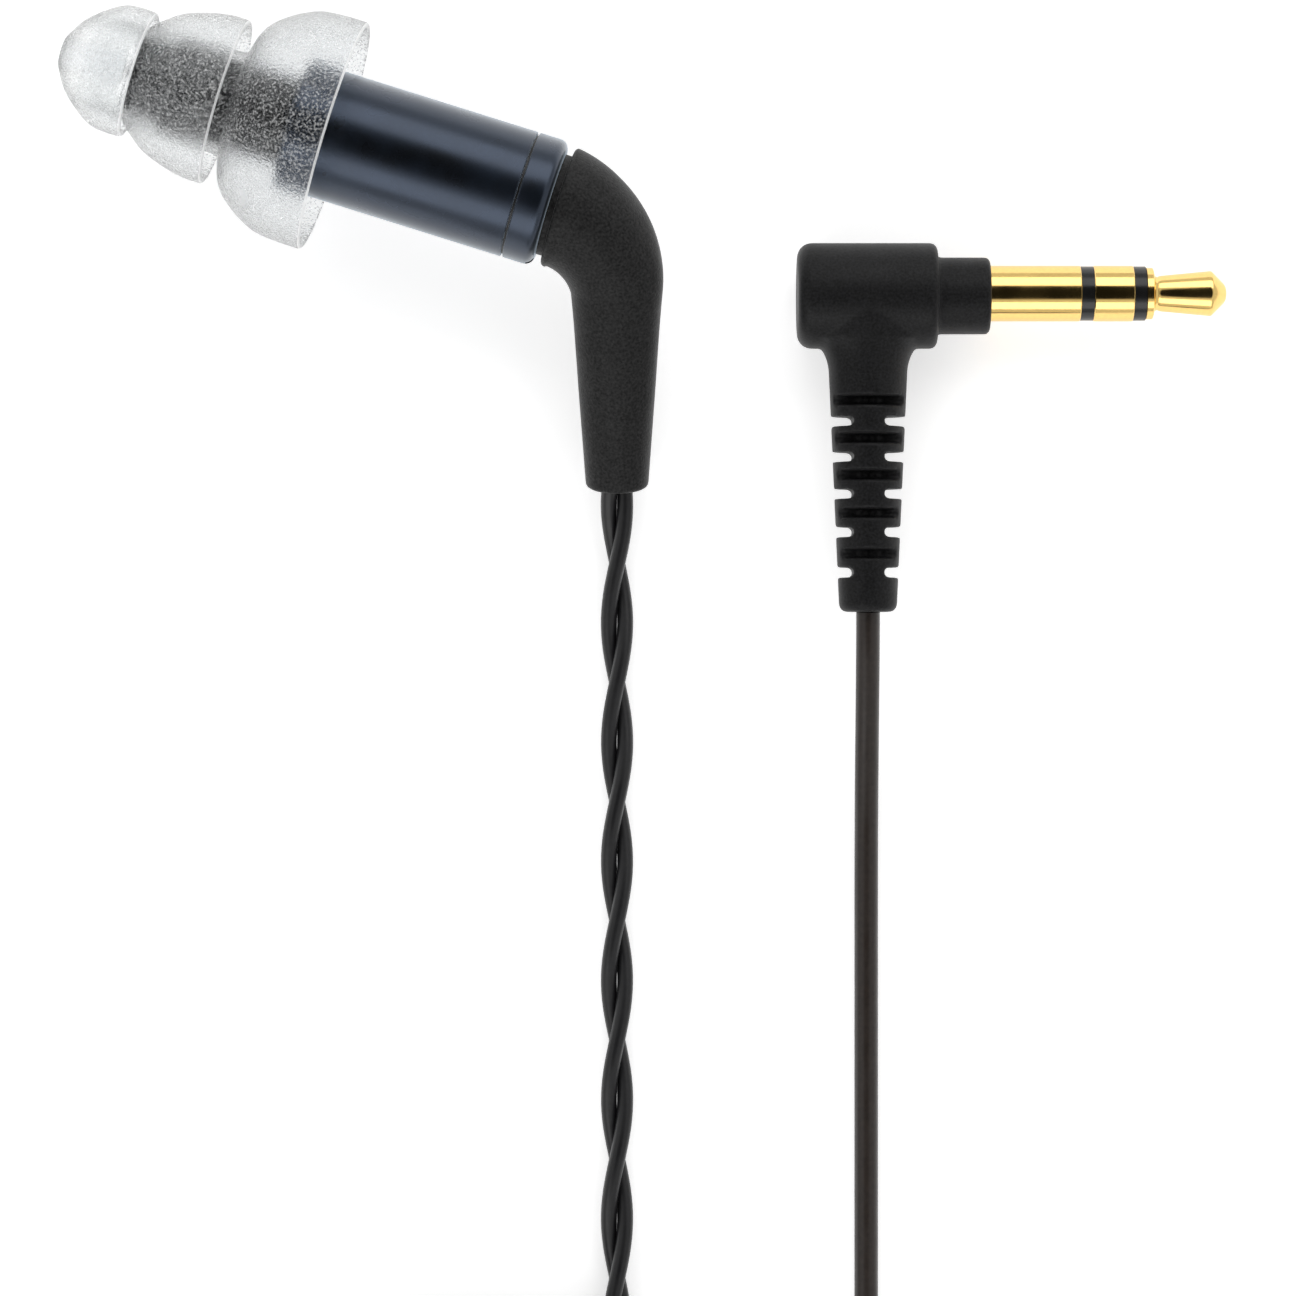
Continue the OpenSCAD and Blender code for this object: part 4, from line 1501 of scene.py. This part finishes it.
    def _slot(self, low: tuple[float, float, float], high: tuple[float, float, float],
              along: str) -> bmesh.types.BMesh:
        """Model one slot cutter with round edges.

        Args:
            low: Its lowest corner, with Y at its middle.
            high: Its highest corner, with Y at its middle.
            along: The axis that its long edges follow.

        Returns:
            The cutter.
        """
        half = self.slot_w / 2
        cutter = box((low[0], low[1] - half, low[2]), (high[0], high[1] + half, high[2]))
        axis = "XYZ".index(along)
        edges = [e for e in cutter.edges if abs(e.verts[0].co[axis] - e.verts[1].co[axis]) > 1.0]
        bmesh.ops.bevel(cutter, geom=edges, offset=half * 0.9, segments=4, profile=0.5, affect="EDGES",
                        material=-1)
        return cutter

    def sleeve(self) -> bmesh.types.BMesh:
        """Model the sleeve contact with its hidden flange.

        Returns:
            The sleeve's mesh.
        """
        front, back = self.flange
        lip = self.lip
        return spun([(front, self.sleeve_bore), (front, self.flange_r), (back, self.flange_r),
                     (back, self.pin_r), (self.sleeve_end - lip, self.pin_r),
                     (self.sleeve_end, self.pin_r - lip),
                     (self.sleeve_end, self.sleeve_bore)], 128)

    def ring(self) -> bmesh.types.BMesh:
        """Model the ring contact on its inner tube.

        Returns:
            The ring's mesh.
        """
        lip = self.lip
        return spun([(self.ring_root, self.ring_bore), (self.ring_root, self.ring_tube),
                     (self.ring_from, self.ring_tube), (self.ring_from, self.pin_r - lip),
                     (self.ring_from + lip, self.pin_r), (self.ring_to - lip, self.pin_r),
                     (self.ring_to, self.pin_r - lip), (self.ring_to, self.ring_bore)])

    def tip(self) -> bmesh.types.BMesh:
        """Model the tip contact: disc, neck, widening barrel and blunt cone.

        Returns:
            The tip's mesh.
        """
        lip, edge_r = self.lip, self.disc_r - self.lip
        disc = [(self.tip_from, edge_r), (self.tip_from + lip, self.disc_r),
                (self.disc_end - lip, self.disc_r), (self.disc_end, edge_r)]
        return spun([(self.tip_root, 0.0), (self.tip_root, self.rod_r), (self.tip_from, self.rod_r),
                     *disc, *self.neck, *self.nose, (self.nose[-1][0], 0.0)], closed=False)

    def insulator(self, bore: float, start: float, end: float) -> bmesh.types.BMesh:
        """Model an insulator: its inner tube and the ring that shows.

        Args:
            bore: The radius of its bore.
            start: Where the visible ring begins.
            end: Where it ends.

        Returns:
            The insulator's mesh.
        """
        tube_r = bore + self.insulator_wall
        show = self.pin_r - self.insulator_sunk
        root = self.flange[0]
        return spun([(root, bore), (root, tube_r), (start, tube_r), (start, show), (end, show), (end, bore)])


# ---------------------------------------------------------------- stage


@dataclass
class Stage:
    """Floor, soft lights and the camera over the table."""

    centre: tuple[float, float] = (14.85, 37.25)
    view_width: float = 81.0
    plug_level: float = 3.3
    distance: float = 300.0
    sensor: float = 36.0
    sky: float = 0.7
    sky_top: float = 0.01
    dark_deg: float = 25.0
    dusk_deg: float = 6.0
    floor_half: float = 2.5
    floor_grey: float = 0.92
    floor_glow: float = 0.5
    box_size: tuple[float, float] = (360.0, 180.0)
    box_at: tuple[float, float, float] = (60.0, 225.0, 190.0)
    box_watts: float = 0.3

    def build(self) -> None:
        """Set up the camera, the floor and the lights."""
        self.camera()
        self.floor()
        self.world()
        aside, away, up = self.box_at
        for name, side in (("light_front", -1), ("light_back", 1)):
            self.softbox(name, (self.centre[0] + side * aside, self.centre[1] + side * away, up))
        bpy.context.scene.view_settings.view_transform = "Standard"

    def camera(self) -> None:
        """Put the camera straight above the middle of the view."""
        data = bpy.data.cameras.new("camera")
        data.sensor_width = self.sensor
        data.lens = self.sensor * self.distance / self.view_width
        data.clip_start = 0.01
        data.clip_end = 10.0
        camera = bpy.data.objects.new("camera", data)
        camera.location = (self.centre[0] * MM, self.centre[1] * MM, (self.distance + self.plug_level) * MM)
        bpy.context.scene.collection.objects.link(camera)
        bpy.context.scene.camera = camera

    def floor(self) -> None:
        """Lay a plain white floor."""
        bm = bmesh.new()
        bmesh.ops.create_grid(bm, x_segments=1, y_segments=1, size=self.floor_half)
        mesh = bpy.data.meshes.new("floor")
        bm.to_mesh(mesh)
        bm.free()
        floor = bpy.data.objects.new("floor", mesh)
        material = bpy.data.materials.new("floor_white")
        material.use_nodes = True
        shader = material.node_tree.nodes["Principled BSDF"]
        shader.inputs["Base Color"].default_value = (self.floor_grey, self.floor_grey, self.floor_grey, 1.0)
        shader.inputs["Roughness"].default_value = 0.9
        shader.inputs["Emission Color"].default_value = (1.0, 1.0, 1.0, 1.0)
        shader.inputs["Emission Strength"].default_value = self.floor_glow
        mesh.materials.append(material)
        bpy.context.scene.collection.objects.link(floor)

    def world(self) -> None:
        """Light everything from a white sky that is dark straight above."""
        world = bpy.data.worlds.new("sky")
        world.use_nodes = True
        tree = world.node_tree
        background = tree.nodes["Background"]
        background.inputs["Color"].default_value = (1.0, 1.0, 1.0, 1.0)
        place = tree.nodes.new("ShaderNodeTexCoord").outputs["Generated"]
        split = tree.nodes.new("ShaderNodeSeparateXYZ")
        fall = tree.nodes.new("ShaderNodeMapRange")
        fall.inputs["From Min"].default_value = math.cos(math.radians(self.dark_deg + self.dusk_deg))
        fall.inputs["From Max"].default_value = math.cos(math.radians(self.dark_deg))
        fall.inputs["To Min"].default_value = self.sky
        fall.inputs["To Max"].default_value = self.sky_top
        tree.links.new(place, split.inputs["Vector"])
        tree.links.new(split.outputs["Z"], fall.inputs["Value"])
        tree.links.new(fall.outputs["Result"], background.inputs["Strength"])
        bpy.context.scene.world = world

    def softbox(self, name: str, at: tuple[float, float, float]) -> None:
        """Hang a rectangular light that faces the object.

        Args:
            name: The light's name.
            at: Its place, in millimetres.
        """
        data = bpy.data.lights.new(name, "AREA")
        data.shape = "RECTANGLE"
        data.size, data.size_y = (side * MM for side in self.box_size)
        data.energy = self.box_watts
        light = bpy.data.objects.new(name, data)
        light.location = [c * MM for c in at]
        aim = Vector((self.centre[0], self.centre[1], 0)) - Vector(at)
        light.rotation_euler = aim.to_track_quat("-Z", "Y").to_euler()
        bpy.context.scene.collection.objects.link(light)


# ---------------------------------------------------------------- assembly


def build_cords(maker: Maker) -> None:
    """Args:
        maker: Where the pieces are handed over.
    """
    left = Cord("branch_left", ROUTE_LEFT, PAIR_COIL, 0.0, LEFT_TURNS, ROUTE_LEFT_TAIL, 2.06)
    right = Cord("branch_right", ROUTE_RIGHT, PAIR_COIL, 180.0, RIGHT_TURNS, ROUTE_RIGHT_TAIL, 2.06)
    trunk = Cord("trunk", ROUTE_MAIN, MAIN_COIL, 180.0, MAIN_TURNS, ROUTE_PLUG, 1.5)
    for cord, replaced in ((left, ["cord_left", "cord_left_tail", "coil_pair"]),
                           (right, ["cord_right", "cord_right_tail"])):
        piece, path = cord.build(maker, True, PAIR_JACKET, replaced)
    piece, path = trunk.build(maker, False, MAIN_JACKET, ["cord_main", "cord_plug", "coil_main"])


def main() -> None:
    """Build the stage, the cords and every piece."""
    logging.basicConfig(level=logging.INFO, format="%(name)s: %(message)s")
    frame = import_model()
    maker = Maker(frame)
    Stage().build()
    plug_pieces = StereoPlug().build(maker)
    build_cords(maker)
    for side in ("left", "right"):
        Earpiece(side).build(maker)
        SwivelLead(side).build(maker)
    SmallWare().build(maker)


if __name__ == "__main__":
    main()
